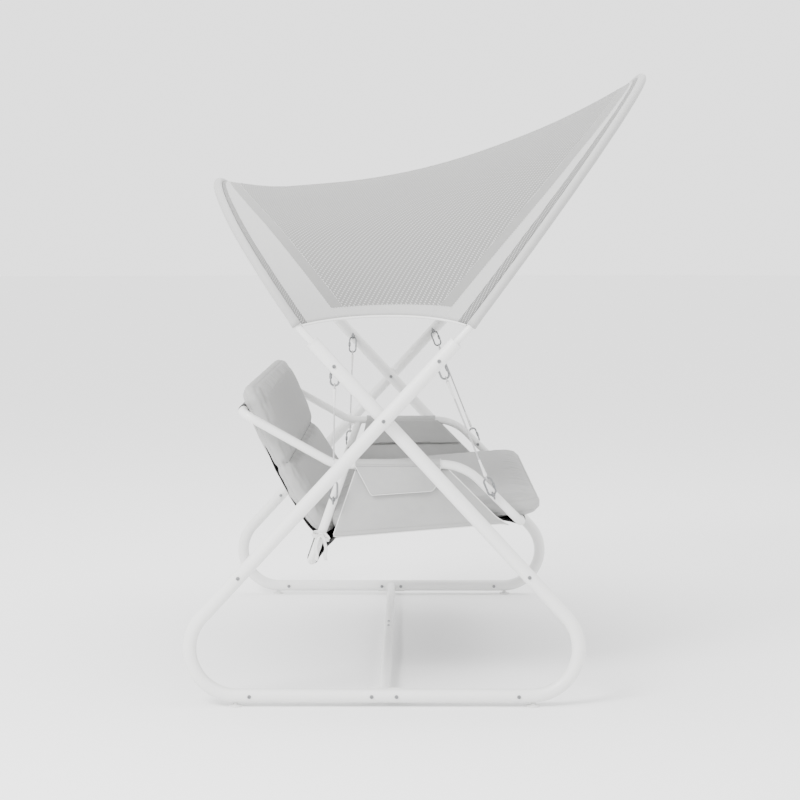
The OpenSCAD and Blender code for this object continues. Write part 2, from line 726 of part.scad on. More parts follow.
// A snap hook's gate, with the pin it turns on
module hook_gate(gate_side) {
    translate([gate_side * hook_bow_r, 0, gate_pin_z]) {
        difference() {
            union() {
                sphere(d = gate_d);
                cylinder(d = gate_d, h = hook_straight - 1 - 0.4 - gate_pin_z);
            }
            translate([-gate_d, -slot_t / 2, -gate_d])
                cube([2 * gate_d, slot_t, 1.5 * gate_d + 0.5]);
        }
        translate([0, 2, 0]) rotate([90, 0, 0]) cylinder(r = gate_pin_r, h = 4);
    }
}

module at_upper_hook(upper, lower) {
    hung(upper, lower) translate([0, 0, -far_bow]) children();
}

module at_lower_hook(upper, lower) {
    hung(upper, lower) translate([0, 0, far_bow - rope_span(upper, lower)])
        mirror([0, 0, 1]) children();
}

module both_hooks(upper, lower, gate_side) {
    at_upper_hook(upper, lower) snap_hook(gate_side);
    at_lower_hook(upper, lower) snap_hook(gate_side);
}

// One end of a rope: its eye, its collar and its tapered sleeve
module rope_end() {
    translate([0, 0, -rope_eye_at]) wire_ring(rope_eye_r, rope_eye_wire);
    translate([0, 0, -collar_at - collar_len]) cylinder(d = collar_d, h = collar_len);
    translate([0, 0, -collar_at - collar_len - ferrule_len])
        cylinder(d1 = rope_d + 1.5, d2 = collar_d, h = ferrule_len);
}

module rope(upper, lower) {
    span = rope_span(upper, lower);
    hung(upper, lower) {
        rope_end();
        translate([0, 0, -span]) mirror([0, 0, 1]) rope_end();
        translate([0, 0, collar_at + collar_len - span])
            cylinder(d = rope_d, h = span - 2 * (collar_at + collar_len));
    }
}

// ---- seat ----

function at_side(p) = [p[0], -seat_half_w, p[1]];
function at_joint(p) = [p[0], -joint_y, p[1]];

module side_bolt_hole(p) {
    drill(at_side(p), bolt_r + hole_gap, 40);
}

module arm_path(d, t) {
    bent_pipe([at_joint(upper_rear), at_side(upper_rear), at_side(arm_rear),
               at_side(arm_front), at_side(front_low), at_joint(front_low)],
              [0, corner_r, arm_rear_r, arm_front_r, corner_r, 0], d, t);
}

module arm_tube() {
    difference() {
        arm_path(seat_tube_d, wall);
        side_bolt_hole(front_eye);
    }
}

// The tube under an armrest, down to the lower rear tube
module side_tube() {
    difference() {
        bent_pipe([at_side(side_top), at_side(lower_rear), at_joint(lower_rear)],
                  [0, lower_corner_r, 0], seat_tube_d, wall);
        translate(at_side(arm_rear)) rotate([0, 90, 0])
            cylinder(d = seat_tube_d + 2 * weld_gap, h = arm_front[0] - arm_rear[0], center = true);
        side_bolt_hole(rear_eye);
    }
}

// A tube across the seat, with a reduced end in each side tube
module seat_cross_tube(p) {
    translate([p[0], 0, p[1]]) rotate([90, 0, 0]) {
        translate([0, 0, -joint_y + shoulder]) pipe(2 * (joint_y - shoulder), seat_tube_d, wall);
        for (m = [0, 1]) mirror([0, 0, m]) translate([0, 0, joint_y])
            spigot(seat_spigot, seat_tube_d, wall);
    }
}

// Points beside a line in a side view, at distance d from it
function beside(pts, d) = [for (i = [0 : len(pts) - 1])
    let (last = len(pts) - 1,
         u = unit(pts[max(i, 1)] - pts[max(i, 1) - 1]),
         v = unit(pts[min(i + 1, last)] - pts[min(i + 1, last) - 1]),
         n = unit([-u[1] - v[1], u[0] + v[0]]))
    pts[i] + d / (n * [-u[1], u[0]]) * n];

// A strip of cloth t thick along the points of a side view
module strip(pts, t) {
    upper = beside(pts, t / 2);
    polygon(concat(beside(pts, -t / 2), [for (i = [len(pts) - 1 : -1 : 0]) upper[i]]));
}

// Extrudes a side view along Y, from y0 to y1
module across(y0, y1) {
    translate([0, y1, 0]) rotate([90, 0, 0]) linear_extrude(y1 - y0) children();
}

module sling_outline() {
    difference() {
        union() {
            strip(sling_back, sling_t);
            strip(sling_seat, sling_t);
            for (p = [upper_rear, lower_rear, front_low]) translate(p)
                circle(r = pocket_r + sling_t / 2);
        }
        for (p = [upper_rear, lower_rear, front_low]) translate(p)
            circle(r = pocket_r - sling_t / 2);
    }
}

module seat_cushion_outline() {
    nose = seat_thick / 2;
    heel = 28.5;
    heel_drop = 5;          // heel's middle below the mid-line
    clear = 3;              // gap above the sling's front bend
    lip = [44, 17.5];       // from that bend to where the nose starts to rise
    translate(seat_line[1]) circle(r = nose);
    translate(seat_line[0] - [0, heel_drop]) circle(r = heel);
    polygon([seat_line[0] - [0, heel_drop + heel], sling_seat[2] + [0, clear],
             sling_seat[2] + lip, seat_line[1] - [0, nose], seat_line[1] + [0, nose],
             seat_line[0] + [0, heel - heel_drop]]);
}

module back_cushion_outline() {
    strip(back_line, back_thick);
    for (p = [back_line[0], back_line[len(back_line) - 1]]) translate(p)
        circle(d = back_thick + 0.5);
}

module arm_panel() {
    across(-seat_half_w - panel_t / 2, -seat_half_w + panel_t / 2) polygon(panel_outline);
}

// A sleeve on the armrest tube with a flap that hangs outside it
module arm_cover() {
    outside = -seat_half_w - cover_r - cover_t;
    bent_pipe([at_side([cover_from, arm_z]), at_side([cover_to, arm_z])], [0, 0],
              2 * (cover_r + cover_t), cover_t);
    past = 9;               // how far the bore runs past both ends
    difference() {
        across(outside, outside + cover_t) polygon(flap_outline);
        pipe_between(at_side([cover_from - past, arm_z]), at_side([cover_to + past, arm_z]),
                     2 * cover_r, cover_r);
    }
}

// A band round a tube at p that runs along dir, with two loose tails and a strap inward
module tie(p, dir) {
    ribbon_t = 1.5;
    band_r = seat_tube_d / 2 + 1;
    band_w = 14;
    tail = [5, ribbon_t, 60];
    tail_at = [-7, 2];      // where each tail starts along the seat
    tail_drop = 4;
    strap = [8, 22, ribbon_t];
    u = unit([dir[0], 0, dir[1]]);
    centre = at_side(p);
    pipe_between(centre - band_w / 2 * u, centre + band_w / 2 * u,
                 2 * (band_r + ribbon_t), ribbon_t);
    for (x = tail_at)
        translate(centre + [x, -band_r - ribbon_t, -tail[2] - tail_drop]) cube(tail);
    translate(centre + [-strap[0] / 2, band_r + 0.5, -ribbon_t / 2]) cube(strap);
}

tie_at = on_line(side_top, lower_rear, 448);

// ---- nodes ----

module steel() { color(WHITE) placed() children(); }
module plastic() { color(PLASTIC) placed() children(); }
module zinc() { color(ZINC) placed() children(); }
module wire_rope() { color(ROPE) placed() children(); }

module base_tube_right() { steel() base_tube(); }
module base_tube_left() { steel() left_side() base_tube(); }
module rear_bend_right() { steel() rear_bend(); }
module rear_bend_left() { steel() left_side() rear_bend(); }
module front_bend_right() { steel() front_bend(); }
module front_bend_left() { steel() left_side() front_bend(); }
module outer_leg_right() { steel() outer_leg(); }
module outer_leg_left() { steel() left_side() outer_leg(); }
module inner_leg_right() { steel() inner_leg(); }
module inner_leg_left() { steel() left_side() inner_leg(); }
module leg_end_caps() {
    plastic() both_sides() { outer_frame() leg_end_cap(); inner_frame() leg_end_cap(); }
}
module cross_tube_right() { steel() cross_tube_near(); }
module cross_tube_left() { steel() cross_tube_far(); }
module cross_tube_saddles() { steel() both_sides() cross_tube_saddle(); }
module frame_bolts() {
    zinc() {
        both_sides() side_bolts();
        for (y = cross_screws) cross_tube_screw(y);
    }
}
module upper_eye_bolts() {
    zinc() both_sides() {
        eye_bolt(upper_rear_eye, unit(lower_rear_eye - upper_rear_eye), leg_tube_d, -1);
        eye_bolt(upper_front_eye, unit(lower_front_eye - upper_front_eye), leg_tube_d, -1);
    }
}
module front_arch_right() { steel() front_arch(); }
module front_arch_left() { steel() left_side() front_arch(); }
module rear_arch_right() { steel() rear_arch(); }
module rear_arch_left() { steel() left_side() rear_arch(); }
module arch_joint_plugs() {
    plastic() {
        arch_joint_plug(FRONT, front_start, front_tilt);
        arch_joint_plug(REAR, rear_start, rear_tilt);
    }
}
module canopy_front_sleeve() {
    color(MESH_CLOTH) placed() arch_sleeve(FRONT, front_start, front_tilt);
}
module canopy_rear_sleeve() {
    color(MESH_CLOTH) placed() arch_sleeve(REAR, rear_start, rear_tilt);
}
module canopy_edge_cords() { color(MESH_CLOTH) placed() both_sides() edge_cord(); }
module foot_rear_right() { plastic() foot(-foot_x); }
module foot_front_right() { plastic() foot(foot_x); }
module foot_rear_left() { plastic() left_side() foot(-foot_x); }
module foot_front_left() { plastic() left_side() foot(foot_x); }
module hooks_rear_right() { zinc() both_hooks(upper_rear_eye, lower_rear_eye, -1); }
module rope_rear_right() { wire_rope() rope(upper_rear_eye, lower_rear_eye); }
module upper_gate_rear_right() {
    zinc() at_upper_hook(upper_rear_eye, lower_rear_eye) hook_gate(-1);
}
module lower_gate_rear_right() {
    zinc() at_lower_hook(upper_rear_eye, lower_rear_eye) hook_gate(-1);
}
module hooks_front_right() { zinc() both_hooks(upper_front_eye, lower_front_hook, 1); }
module rope_front_right() { wire_rope() rope(upper_front_eye, lower_front_hook); }
module upper_gate_front_right() {
    zinc() at_upper_hook(upper_front_eye, lower_front_eye) hook_gate(1);
}
module lower_gate_front_right() {
    zinc() at_lower_hook(upper_front_eye, lower_front_hook) hook_gate(1);
}
module hooks_rear_left() { zinc() left_side() both_hooks(upper_rear_eye, lower_rear_eye, -1); }
module rope_rear_left() { wire_rope() left_side() rope(upper_rear_eye, lower_rear_eye); }
module upper_gate_rear_left() {
    zinc() left_side() at_upper_hook(upper_rear_eye, lower_rear_eye) hook_gate(-1);
}
module lower_gate_rear_left() {
    zinc() left_side() at_lower_hook(upper_rear_eye, lower_rear_eye) hook_gate(-1);
}
module hooks_front_left() { zinc() left_side() both_hooks(upper_front_eye, lower_front_hook, 1); }
module rope_front_left() { wire_rope() left_side() rope(upper_front_eye, lower_front_hook); }
module upper_gate_front_left() {
    zinc() left_side() at_upper_hook(upper_front_eye, lower_front_eye) hook_gate(1);
}
module lower_gate_front_left() {
    zinc() left_side() at_lower_hook(upper_front_eye, lower_front_hook) hook_gate(1);
}
module arm_tube_right() { steel() arm_tube(); }
module arm_tube_left() { steel() left_side() arm_tube(); }
module side_tube_right() { steel() side_tube(); }
module side_tube_left() { steel() left_side() side_tube(); }
module upper_rear_tube() { steel() seat_cross_tube(upper_rear); }
module front_tube() { steel() seat_cross_tube(front_low); }
module lower_rear_tube() { steel() seat_cross_tube(lower_rear); }
module lower_eye_bolts() {
    zinc() both_sides() {
        eye_bolt(lower_rear_eye, unit(lower_rear_eye - upper_rear_eye), seat_tube_d, 1);
        eye_bolt(lower_front_eye, unit(lower_front_eye - upper_front_eye), seat_tube_d, 1);
    }
}
module sling() {
    wide = seat_half_w - panel_t / 2 - 0.3;
    color(BLACK_CLOTH) placed() {
        across(-sling_w / 2, sling_w / 2) sling_outline();
        across(-wide, wide) strip([sling_seat[1], sling_seat[2]], sling_t + 0.4);
    }
}
module seat_cushion() {
    color(GREY_CLOTH) placed() across(-cushion_w / 2, cushion_w / 2) seat_cushion_outline();
}
module back_cushion() {
    color(GREY_CLOTH) placed() across(-cushion_w / 2, cushion_w / 2) back_cushion_outline();
}
module arm_panels() { color(GREY_CLOTH) placed() both_sides() arm_panel(); }
module arm_covers() { color(GREY_CLOTH) placed() both_sides() arm_cover(); }
module cushion_ties() {
    color(GREY_CLOTH) placed() both_sides() {
        tie(tie_at, side_top - lower_rear);
    }
}

base_tube_right();
base_tube_left();
rear_bend_right();
rear_bend_left();
front_bend_right();
front_bend_left();
outer_leg_right();
outer_leg_left();
inner_leg_right();
inner_leg_left();
leg_end_caps();
cross_tube_right();
cross_tube_left();
cross_tube_saddles();
frame_bolts();
upper_eye_bolts();
front_arch_right();
front_arch_left();
rear_arch_right();
rear_arch_left();
arch_joint_plugs();
canopy_panel();
canopy_front_sleeve();
canopy_rear_sleeve();
canopy_edge_cords();
foot_rear_right();
foot_front_right();
foot_rear_left();
foot_front_left();
hooks_rear_right();
hooks_front_right();
hooks_rear_left();
hooks_front_left();
rope_rear_right();
rope_front_right();
rope_rear_left();
rope_front_left();
upper_gate_rear_right();
upper_gate_front_right();
upper_gate_rear_left();
upper_gate_front_left();
lower_gate_rear_right();
lower_gate_front_right();
lower_gate_rear_left();
lower_gate_front_left();
arm_tube_right();
arm_tube_left();
side_tube_right();
side_tube_left();
upper_rear_tube();
front_tube();
lower_rear_tube();
lower_eye_bolts();
sling();
seat_cushion();
back_cushion();
arm_panels();
arm_covers();
cushion_ties();
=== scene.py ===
# Looks for the canopy garden swing: powder-coated tubes, a mesh canopy, padded cushions,
# a black sling, coated wire ropes and cloth ties. Everything is in metres, in the CAD's frame.
import json
import math

import bmesh
import bpy
import numpy as np
from mathutils import Matrix, Vector, noise
from mathutils.bvhtree import BVHTree


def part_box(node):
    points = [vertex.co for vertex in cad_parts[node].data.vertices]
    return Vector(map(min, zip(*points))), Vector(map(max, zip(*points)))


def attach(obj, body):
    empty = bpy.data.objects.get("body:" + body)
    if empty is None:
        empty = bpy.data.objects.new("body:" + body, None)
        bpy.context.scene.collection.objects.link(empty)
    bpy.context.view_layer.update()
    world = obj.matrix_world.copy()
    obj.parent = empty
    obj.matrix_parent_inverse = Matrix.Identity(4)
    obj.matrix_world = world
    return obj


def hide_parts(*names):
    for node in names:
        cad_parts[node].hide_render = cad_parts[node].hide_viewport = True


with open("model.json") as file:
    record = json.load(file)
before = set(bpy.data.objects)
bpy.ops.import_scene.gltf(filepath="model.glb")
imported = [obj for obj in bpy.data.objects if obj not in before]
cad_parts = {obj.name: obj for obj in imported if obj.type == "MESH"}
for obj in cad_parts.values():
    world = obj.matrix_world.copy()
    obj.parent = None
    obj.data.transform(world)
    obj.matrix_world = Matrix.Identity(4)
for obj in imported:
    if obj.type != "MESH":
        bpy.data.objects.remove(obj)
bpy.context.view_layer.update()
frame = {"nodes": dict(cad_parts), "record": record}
NODES = frame["nodes"]
MM = 0.001

# ---------------------------------------------------------------- places, from the frame


def mid(node):
    """The middle of a CAD node's box."""
    low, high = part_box(node)
    return (np.array(low) + np.array(high)) / 2


BASE_X, BASE_Y, BASE_Z = mid("base_tube_right")    # middle of the right side frame's base
HALF_SPACING = -BASE_Y
UPPER_REAR = mid("upper_rear_tube")[[0, 2]]
FRONT_LOW = mid("front_tube")[[0, 2]]
LOWER_REAR = mid("lower_rear_tube")[[0, 2]]
COVER_LOW, COVER_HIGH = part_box("arm_covers")
ARM_Z = COVER_HIGH.z - 15.5 * MM             # a cover's outside is that far from its axis
SIDE_Y = -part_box("arm_panels")[0].y - 1.5 * MM     # half a panel's thickness in
CUSHION_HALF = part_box("seat_cushion")[1].y
SLING_HALF = 600 * MM                        # half width of the sling's back
SEAT_TUBE_R = 12.5 * MM


def base_point(x_mm, z_mm):
    """A point of the side view, given in millimetres from the middle of the base."""
    return np.array([BASE_X + x_mm * MM, z_mm * MM])


# Legs and arches, as the CAD has them
LEG_ANGLE = math.radians(47.3)
LEG_TUBE_R = 19 * MM
BEND_X, BEND_R = 403 * MM, 130 * MM
ARCH_START = 1080 * MM
ARCH_TUBE_R = 10 * MM
SLEEVE_R = 12.7 * MM
CROSS_GAP = 0.6 * MM
BEND_END = (-BEND_X - BEND_R * math.sin(LEG_ANGLE), BEND_R * (1 + math.cos(LEG_ANGLE)))
LEAN = math.asin((2 * LEG_TUBE_R + CROSS_GAP) / 2
                 / (BEND_END[1] - BEND_END[0] * math.tan(LEG_ANGLE)))
LEG_TOP_X = BEND_END[0] + ARCH_START * math.cos(LEG_ANGLE)
LEG_TOP_H = BEND_END[1] + ARCH_START * math.sin(LEG_ANGLE)


class Arch:
    """One of the two tubes that the canopy hangs between."""

    def __init__(self, way, slope, straight, side_r, side_sweep):
        self.half = HALF_SPACING + way * LEG_TOP_H * math.sin(LEAN)
        self.start = (BASE_X + way * LEG_TOP_X, BASE_Z + LEG_TOP_H * math.cos(LEAN))
        self.rise = (way * math.cos(math.radians(slope)), math.sin(math.radians(slope)))
        self.straight = straight
        self.side_r = side_r or self.half
        self.sweep = math.radians(side_sweep)
        self.crown_r = self.side_r + (self.half - self.side_r) / math.cos(self.sweep)
        self.side_len = self.side_r * self.sweep
        self.length = straight + self.side_len + self.crown_r * (math.pi / 2 - self.sweep)

    def point(self, t):
        """The point at share t of the arch, 0 at its right end and 1 at its left end."""
        way = -1 if t < 0.5 else 1
        run = min(t, 1 - t) * 2 * self.length
        if run < self.straight:
            across, up = self.half, run
        elif run < self.straight + self.side_len:
            w = (run - self.straight) / self.side_r
            across = self.half - self.side_r * (1 - math.cos(w))
            up = self.straight + self.side_r * math.sin(w)
        else:
            w = self.sweep + (run - self.straight - self.side_len) / self.crown_r
            across = self.crown_r * math.cos(w)
            up = (self.straight - (self.crown_r - self.side_r) * math.sin(self.sweep)
                  + self.crown_r * math.sin(w))
        return np.array([self.start[0] + up * self.rise[0], way * across,
                         self.start[1] + up * self.rise[1]])


FRONT = Arch(1, 53.2, 26 * MM, None, 60)
REAR = Arch(-1, 55.5, 6 * MM, 380 * MM, 61.5)

# ---------------------------------------------------------------- meshes


def unit(v):
    v = np.asarray(v, float)
    return v / np.linalg.norm(v)


def clamp(value):
    return min(max(value, 0), 1)


def link(obj):
    bpy.context.scene.collection.objects.link(obj)
    return obj


def read(items, key, width=1, kind=float):
    """One property of all vertices, faces or loops: one value, or one row, for each."""
    out = np.zeros(len(items) * width, kind)
    items.foreach_get(key, out)
    return out.reshape(-1, width) if width > 1 else out


def map_uvs(mesh, uvs):
    """A UV map from one (u, v) for each loop."""
    mesh.uv_layers.new(name="UVMap").data.foreach_set("uv", np.asarray(uvs, float).ravel())


def make(name, verts, faces, materials, uvs=None, face_slots=None):
    """A mesh object from vertices and faces; uvs is one (u, v) for each vertex."""
    mesh = bpy.data.meshes.new(name)
    mesh.from_pydata([tuple(v) for v in verts], [], faces)
    for material in (materials if isinstance(materials, list) else [materials]):
        mesh.materials.append(material)
    if uvs is not None:
        map_uvs(mesh, np.asarray(uvs, float)[read(mesh.loops, "vertex_index", kind=int)])
    if face_slots is not None:
        mesh.polygons.foreach_set("material_index", face_slots)
    mesh.polygons.foreach_set("use_smooth", [True] * len(mesh.polygons))
    mesh.validate()
    return link(bpy.data.objects.new(name, mesh))


def run_along(points):
    """Length along a line at each of its points, from 0."""
    steps = np.linalg.norm(np.diff(np.asarray(points, float), axis=0), axis=1)
    return np.concatenate([[0], np.cumsum(steps)])


def line_length(points):
    return float(run_along(points)[-1])


def turn(count):
    """Angles of even steps round a full turn."""
    return np.linspace(0, 2 * math.pi, count, endpoint=False)


def ring_faces(rings, sides, closed):
    """Quads from each ring of points to the next, and from the last to the first if closed."""
    return [(i * sides + k, i * sides + (k + 1) % sides,
             (i + 1) % rings * sides + (k + 1) % sides, (i + 1) % rings * sides + k)
            for i in range(rings if closed else rings - 1) for k in range(sides)]


def cross_ways(points):
    """Two cross directions at each point of a line, without twist."""
    tangents = np.gradient(np.asarray(points, float), axis=0)
    tangents /= np.linalg.norm(tangents, axis=1)[:, None]
    side = np.cross(tangents[0], (0, 1, 0))
    if np.linalg.norm(side) < 1e-6:
        side = np.cross(tangents[0], (1, 0, 0))
    sides = [unit(side)]
    for t in tangents[1:]:
        sides.append(unit(sides[-1] - t * (sides[-1] @ t)))
    return np.array(sides), np.cross(tangents, sides)


def lobed(lobes, depth, sides):
    """A section for sweep: a unit circle with shallow lobes."""
    w = turn(sides)
    r = 1 + depth * np.cos(lobes * w)
    return np.stack([r * np.cos(w), r * np.sin(w)], 1)


def sweep(name, points, radius, material, sides=16, profile=None, twist=None, closed=False):
    """A tube along points. radius is one number or one for each point; profile is the
    section's points for a unit radius, and twist turns it by that angle at each point."""
    p = np.asarray(points, float)
    n = len(p)
    a, b = cross_ways(p)
    radius = np.broadcast_to(np.asarray(radius, float), (n,))
    if profile is None:
        profile = lobed(0, 0, sides)
    m = len(profile)
    twist = np.zeros(n) if twist is None else twist
    verts = []
    for i in range(n):
        c, s = math.cos(twist[i]), math.sin(twist[i])
        x = profile[:, 0] * c - profile[:, 1] * s
        y = profile[:, 0] * s + profile[:, 1] * c
        verts.append(p[i] + radius[i] * (x[:, None] * a[i] + y[:, None] * b[i]))
    faces = ring_faces(n, m, closed)
    if not closed:
        faces += [tuple(range(m))[::-1], tuple((n - 1) * m + k for k in range(m))]
    run = run_along(p)
    uvs = [(run[i], k / m * 2 * math.pi * radius[i]) for i in range(n) for k in range(m)]
    return make(name, np.concatenate(verts), faces, material, uvs)


def normals_of(grid):
    """Unit normals of a grid of points."""
    du = np.gradient(grid, axis=0)
    dv = np.gradient(grid, axis=1)
    n = np.cross(du, dv)
    return n / np.maximum(np.linalg.norm(n, axis=2), 1e-12)[:, :, None]


def cloth(name, grid, thickness, material, slot_at=lambda i, j: 0):
    """A closed sheet of the given thickness about a grid of points, with UVs in metres.
    slot_at(i, j) gives the material of each face."""
    g = np.asarray(grid, float)
    rows, cols = g.shape[:2]
    n = normals_of(g)
    du = np.linalg.norm(np.diff(g, axis=0), axis=2)
    dv = np.linalg.norm(np.diff(g, axis=1), axis=2)
    u = np.concatenate([np.zeros((1, cols)), np.cumsum(du, axis=0)])
    v = np.concatenate([np.zeros((rows, 1)), np.cumsum(dv, axis=1)], axis=1)
    uv = np.stack([u.mean(1)[:, None] + 0 * u, v], 2)
    verts = np.concatenate([(g + n * thickness / 2).reshape(-1, 3),
                            (g - n * thickness / 2).reshape(-1, 3)])
    k = rows * cols
    faces, slots = [], []

    def at(i, j, back=0):
        return back * k + i * cols + j

    for i in range(rows - 1):
        for j in range(cols - 1):
            faces.append((at(i, j), at(i + 1, j), at(i + 1, j + 1), at(i, j + 1)))
            faces.append((at(i, j + 1, 1), at(i + 1, j + 1, 1), at(i + 1, j, 1), at(i, j, 1)))
            slots += [slot_at(i, j)] * 2
    for i in range(rows - 1):
        faces.append((at(i, 0), at(i, 0, 1), at(i + 1, 0, 1), at(i + 1, 0)))
        faces.append((at(i + 1, cols - 1), at(i + 1, cols - 1, 1),
                      at(i, cols - 1, 1), at(i, cols - 1)))
        slots += [slot_at(i, 0), slot_at(i, cols - 2)]
    for j in range(cols - 1):
        faces.append((at(0, j + 1), at(0, j + 1, 1), at(0, j, 1), at(0, j)))
        faces.append((at(rows - 1, j), at(rows - 1, j, 1),
                      at(rows - 1, j + 1, 1), at(rows - 1, j + 1)))
        slots += [slot_at(0, j)] * 2
    uvs = np.concatenate([uv.reshape(-1, 2)] * 2)
    return make(name, verts, faces, material, uvs, slots)


def smooth_line(points, count):
    """A smooth line through the given points, evenly spaced."""
    p = np.asarray(points, float)
    ends = np.concatenate([[2 * p[0] - p[1]], p, [2 * p[-1] - p[-2]]])
    out = []
    for i in range(1, len(ends) - 2):
        p0, p1, p2, p3 = ends[i - 1:i + 3]
        for t in np.linspace(0, 1, 24, endpoint=False):
            out.append(0.5 * (2 * p1 + (p2 - p0) * t + (2 * p0 - 5 * p1 + 4 * p2 - p3) * t ** 2
                              + (3 * p1 - p0 - 3 * p2 + p3) * t ** 3))
    out.append(p[-1])
    return even(np.array(out), count)


def even(points, count):
    """The same line with count points at even distances."""
    run = run_along(points)
    return on_line(points, run, np.linspace(0, run[-1], count))


def on_line(points, run, at):
    """Where the lengths at fall on a line of points whose own lengths are run."""
    p = np.asarray(points, float)
    return np.stack([np.interp(at, run, p[:, k]) for k in range(p.shape[1])], -1)


def arc(centre, r, start, end, count):
    """Points of a circle in a side view, angles in degrees from +X towards +Z."""
    w = np.radians(np.linspace(start, end, count))
    return np.stack([centre[0] + r * np.cos(w), centre[1] + r * np.sin(w)], 1)


def side_view(points, y):
    """Side-view points (x, z) as points in space at that y."""
    p = np.asarray(points, float)
    return np.stack([p[:, 0], np.full(len(p), y), p[:, 1]], 1)


def bumpy(p, scale, seed=0.0):
    """Smooth noise from -1 to 1 at a point."""
    return noise.noise(Vector((p[0] * scale + seed, p[1] * scale - seed, p[2] * scale)))


# ---------------------------------------------------------------- materials


class Paint:
    """Builds one material's nodes: a principled shader with its bump and masks."""

    def __init__(self, name, color, rough, metal=0.0, sheen=0.0, coat=0.0):
        self.material = bpy.data.materials.new(name)
        self.material.use_nodes = True
        self.tree = self.material.node_tree
        self.shader = self.tree.nodes["Principled BSDF"]
        self.out = self.tree.nodes["Material Output"]
        self.set("Base Color", (*color, 1))
        self.set("Roughness", rough)
        self.set("Metallic", metal)
        self.set("Sheen Weight", sheen)
        self.set("Sheen Roughness", 0.4)
        self.set("Coat Weight", coat)

    def set(self, socket, value):
        self.put(self.shader.inputs[socket], value)

    def put(self, socket, value):
        if isinstance(value, bpy.types.NodeSocket):
            self.tree.links.new(value, socket)
        else:
            socket.default_value = value

    def node(self, kind, inputs=(), **settings):
        n = self.tree.nodes.new("ShaderNode" + kind)
        for key, value in settings.items():
            setattr(n, key, value)
        for key, value in dict(inputs).items():
            self.put(n.inputs[key], value)
        return n

    def math(self, operation, a, b=0.0):
        return self.node("Math", {0: a, 1: b}, operation=operation).outputs[0]

    def noise(self, scale, detail=2.0, vector=None):
        vector = vector or self.place("Object")
        n = self.node("TexNoise", {"Scale": scale, "Detail": detail, "Vector": vector})
        return n.outputs["Fac"]

    def place(self, kind):
        return self.node("TexCoord").outputs[kind]

    def between(self, fac, low, high):
        """fac from 0 to 1 as a value from low to high."""
        return self.node("MapRange", {"Value": fac, "To Min": low, "To Max": high}).outputs[0]

    def mix(self, fac, a, b):
        """Colour a where fac is 0 and b where it is 1."""
        a, b = ((*c, 1) if isinstance(c, tuple) else c for c in (a, b))
        n = self.node("Mix", data_type="RGBA")
        for socket, value in ((0, fac), (6, a), (7, b)):
            self.put(n.inputs[socket], value)
        return n.outputs[2]

    def bump(self, height, distance, strength, under=None):
        n = self.node("Bump", {"Strength": strength, "Distance": distance, "Height": height})
        if under:
            self.put(n.inputs["Normal"], under)
        return n.outputs[0]

    def threads(self, pitch_u, pitch_v):
        """Thread coordinates from the UV map, one unit for each thread."""
        xyz = self.node("SeparateXYZ", {0: self.place("UV")})
        return (self.math("DIVIDE", xyz.outputs[0], pitch_u),
                self.math("DIVIDE", xyz.outputs[1], pitch_v))

    def weave(self, u, v):
        """Height of a plain weave, 0 to 1, where one thread crosses over the next."""
        cells = self.math("ADD", self.math("FLOOR", u), self.math("FLOOR", v))
        odd = self.math("FLOORED_MODULO", cells, 2.0)
        a = self.math("MULTIPLY", self.ridge(u), odd)
        b = self.math("MULTIPLY", self.ridge(v), self.math("SUBTRACT", 1.0, odd))
        return self.math("ADD", a, b)

    def ridge(self, x):
        """0 at each whole number and 1 half way between."""
        return self.math("ABSOLUTE", self.math("SINE", self.math("MULTIPLY", x, math.pi)))

    def holes(self, u, v, radius):
        """1 inside the round holes of a mesh, two staggered to each cell, 0 outside."""
        fine = None
        for shift in (0.0, 0.5):
            x, y = (self.math("SUBTRACT", self.math("FRACT", self.math("ADD", c, shift)), 0.5)
                    for c in (u, v))
            d = self.math("ADD", self.math("MULTIPLY", x, x), self.math("MULTIPLY", y, y))
            dot = self.math("LESS_THAN", d, radius * radius)
            fine = dot if fine is None else self.math("MAXIMUM", fine, dot)
        return fine

    def see_through(self, fac):
        """Lets light through where fac is 1."""
        clear = self.node("BsdfTransparent")
        mixed = self.node("MixShader", {0: fac, 1: self.shader.outputs[0], 2: clear.outputs[0]})
        self.tree.links.new(mixed.outputs[0], self.out.inputs["Surface"])


def grey(value, warmth=0.005):
    """A grey with that much less blue in it."""
    return value, value, value - warmth


def powder_coat():
    p = Paint("white_powder_coat_paint", grey(0.74, 0.01), 0.42, coat=0.15)
    peel = p.bump(p.noise(900.0, 3.0), 0.00012, 0.5)
    p.set("Normal", p.bump(p.noise(60.0), 0.00025, 0.25, peel))
    p.set("Roughness", p.between(p.noise(25.0, 4.0), 0.38, 0.5))
    return p.material


def light_plastic():
    p = Paint("light_plastic_moulding", grey(0.72, 0.01), 0.48)
    p.set("Normal", p.bump(p.noise(1500.0), 0.00006, 0.5))
    return p.material


def zinc():
    p = Paint("zinc_plating", (0.24, 0.245, 0.25), 0.34, metal=0.95)
    wear = p.noise(180.0, 5.0)
    p.set("Roughness", p.between(wear, 0.22, 0.5))
    p.set("Base Color", p.mix(wear, (0.13, 0.135, 0.14), (0.32, 0.325, 0.33)))
    p.set("Normal", p.bump(p.noise(1200.0), 0.00003, 0.6))
    return p.material


def rope_coat():
    p = Paint("coated_rope", grey(0.42, 0), 0.4, coat=0.4)
    p.set("Normal", p.bump(p.noise(800.0), 0.00004, 0.4))
    return p.material


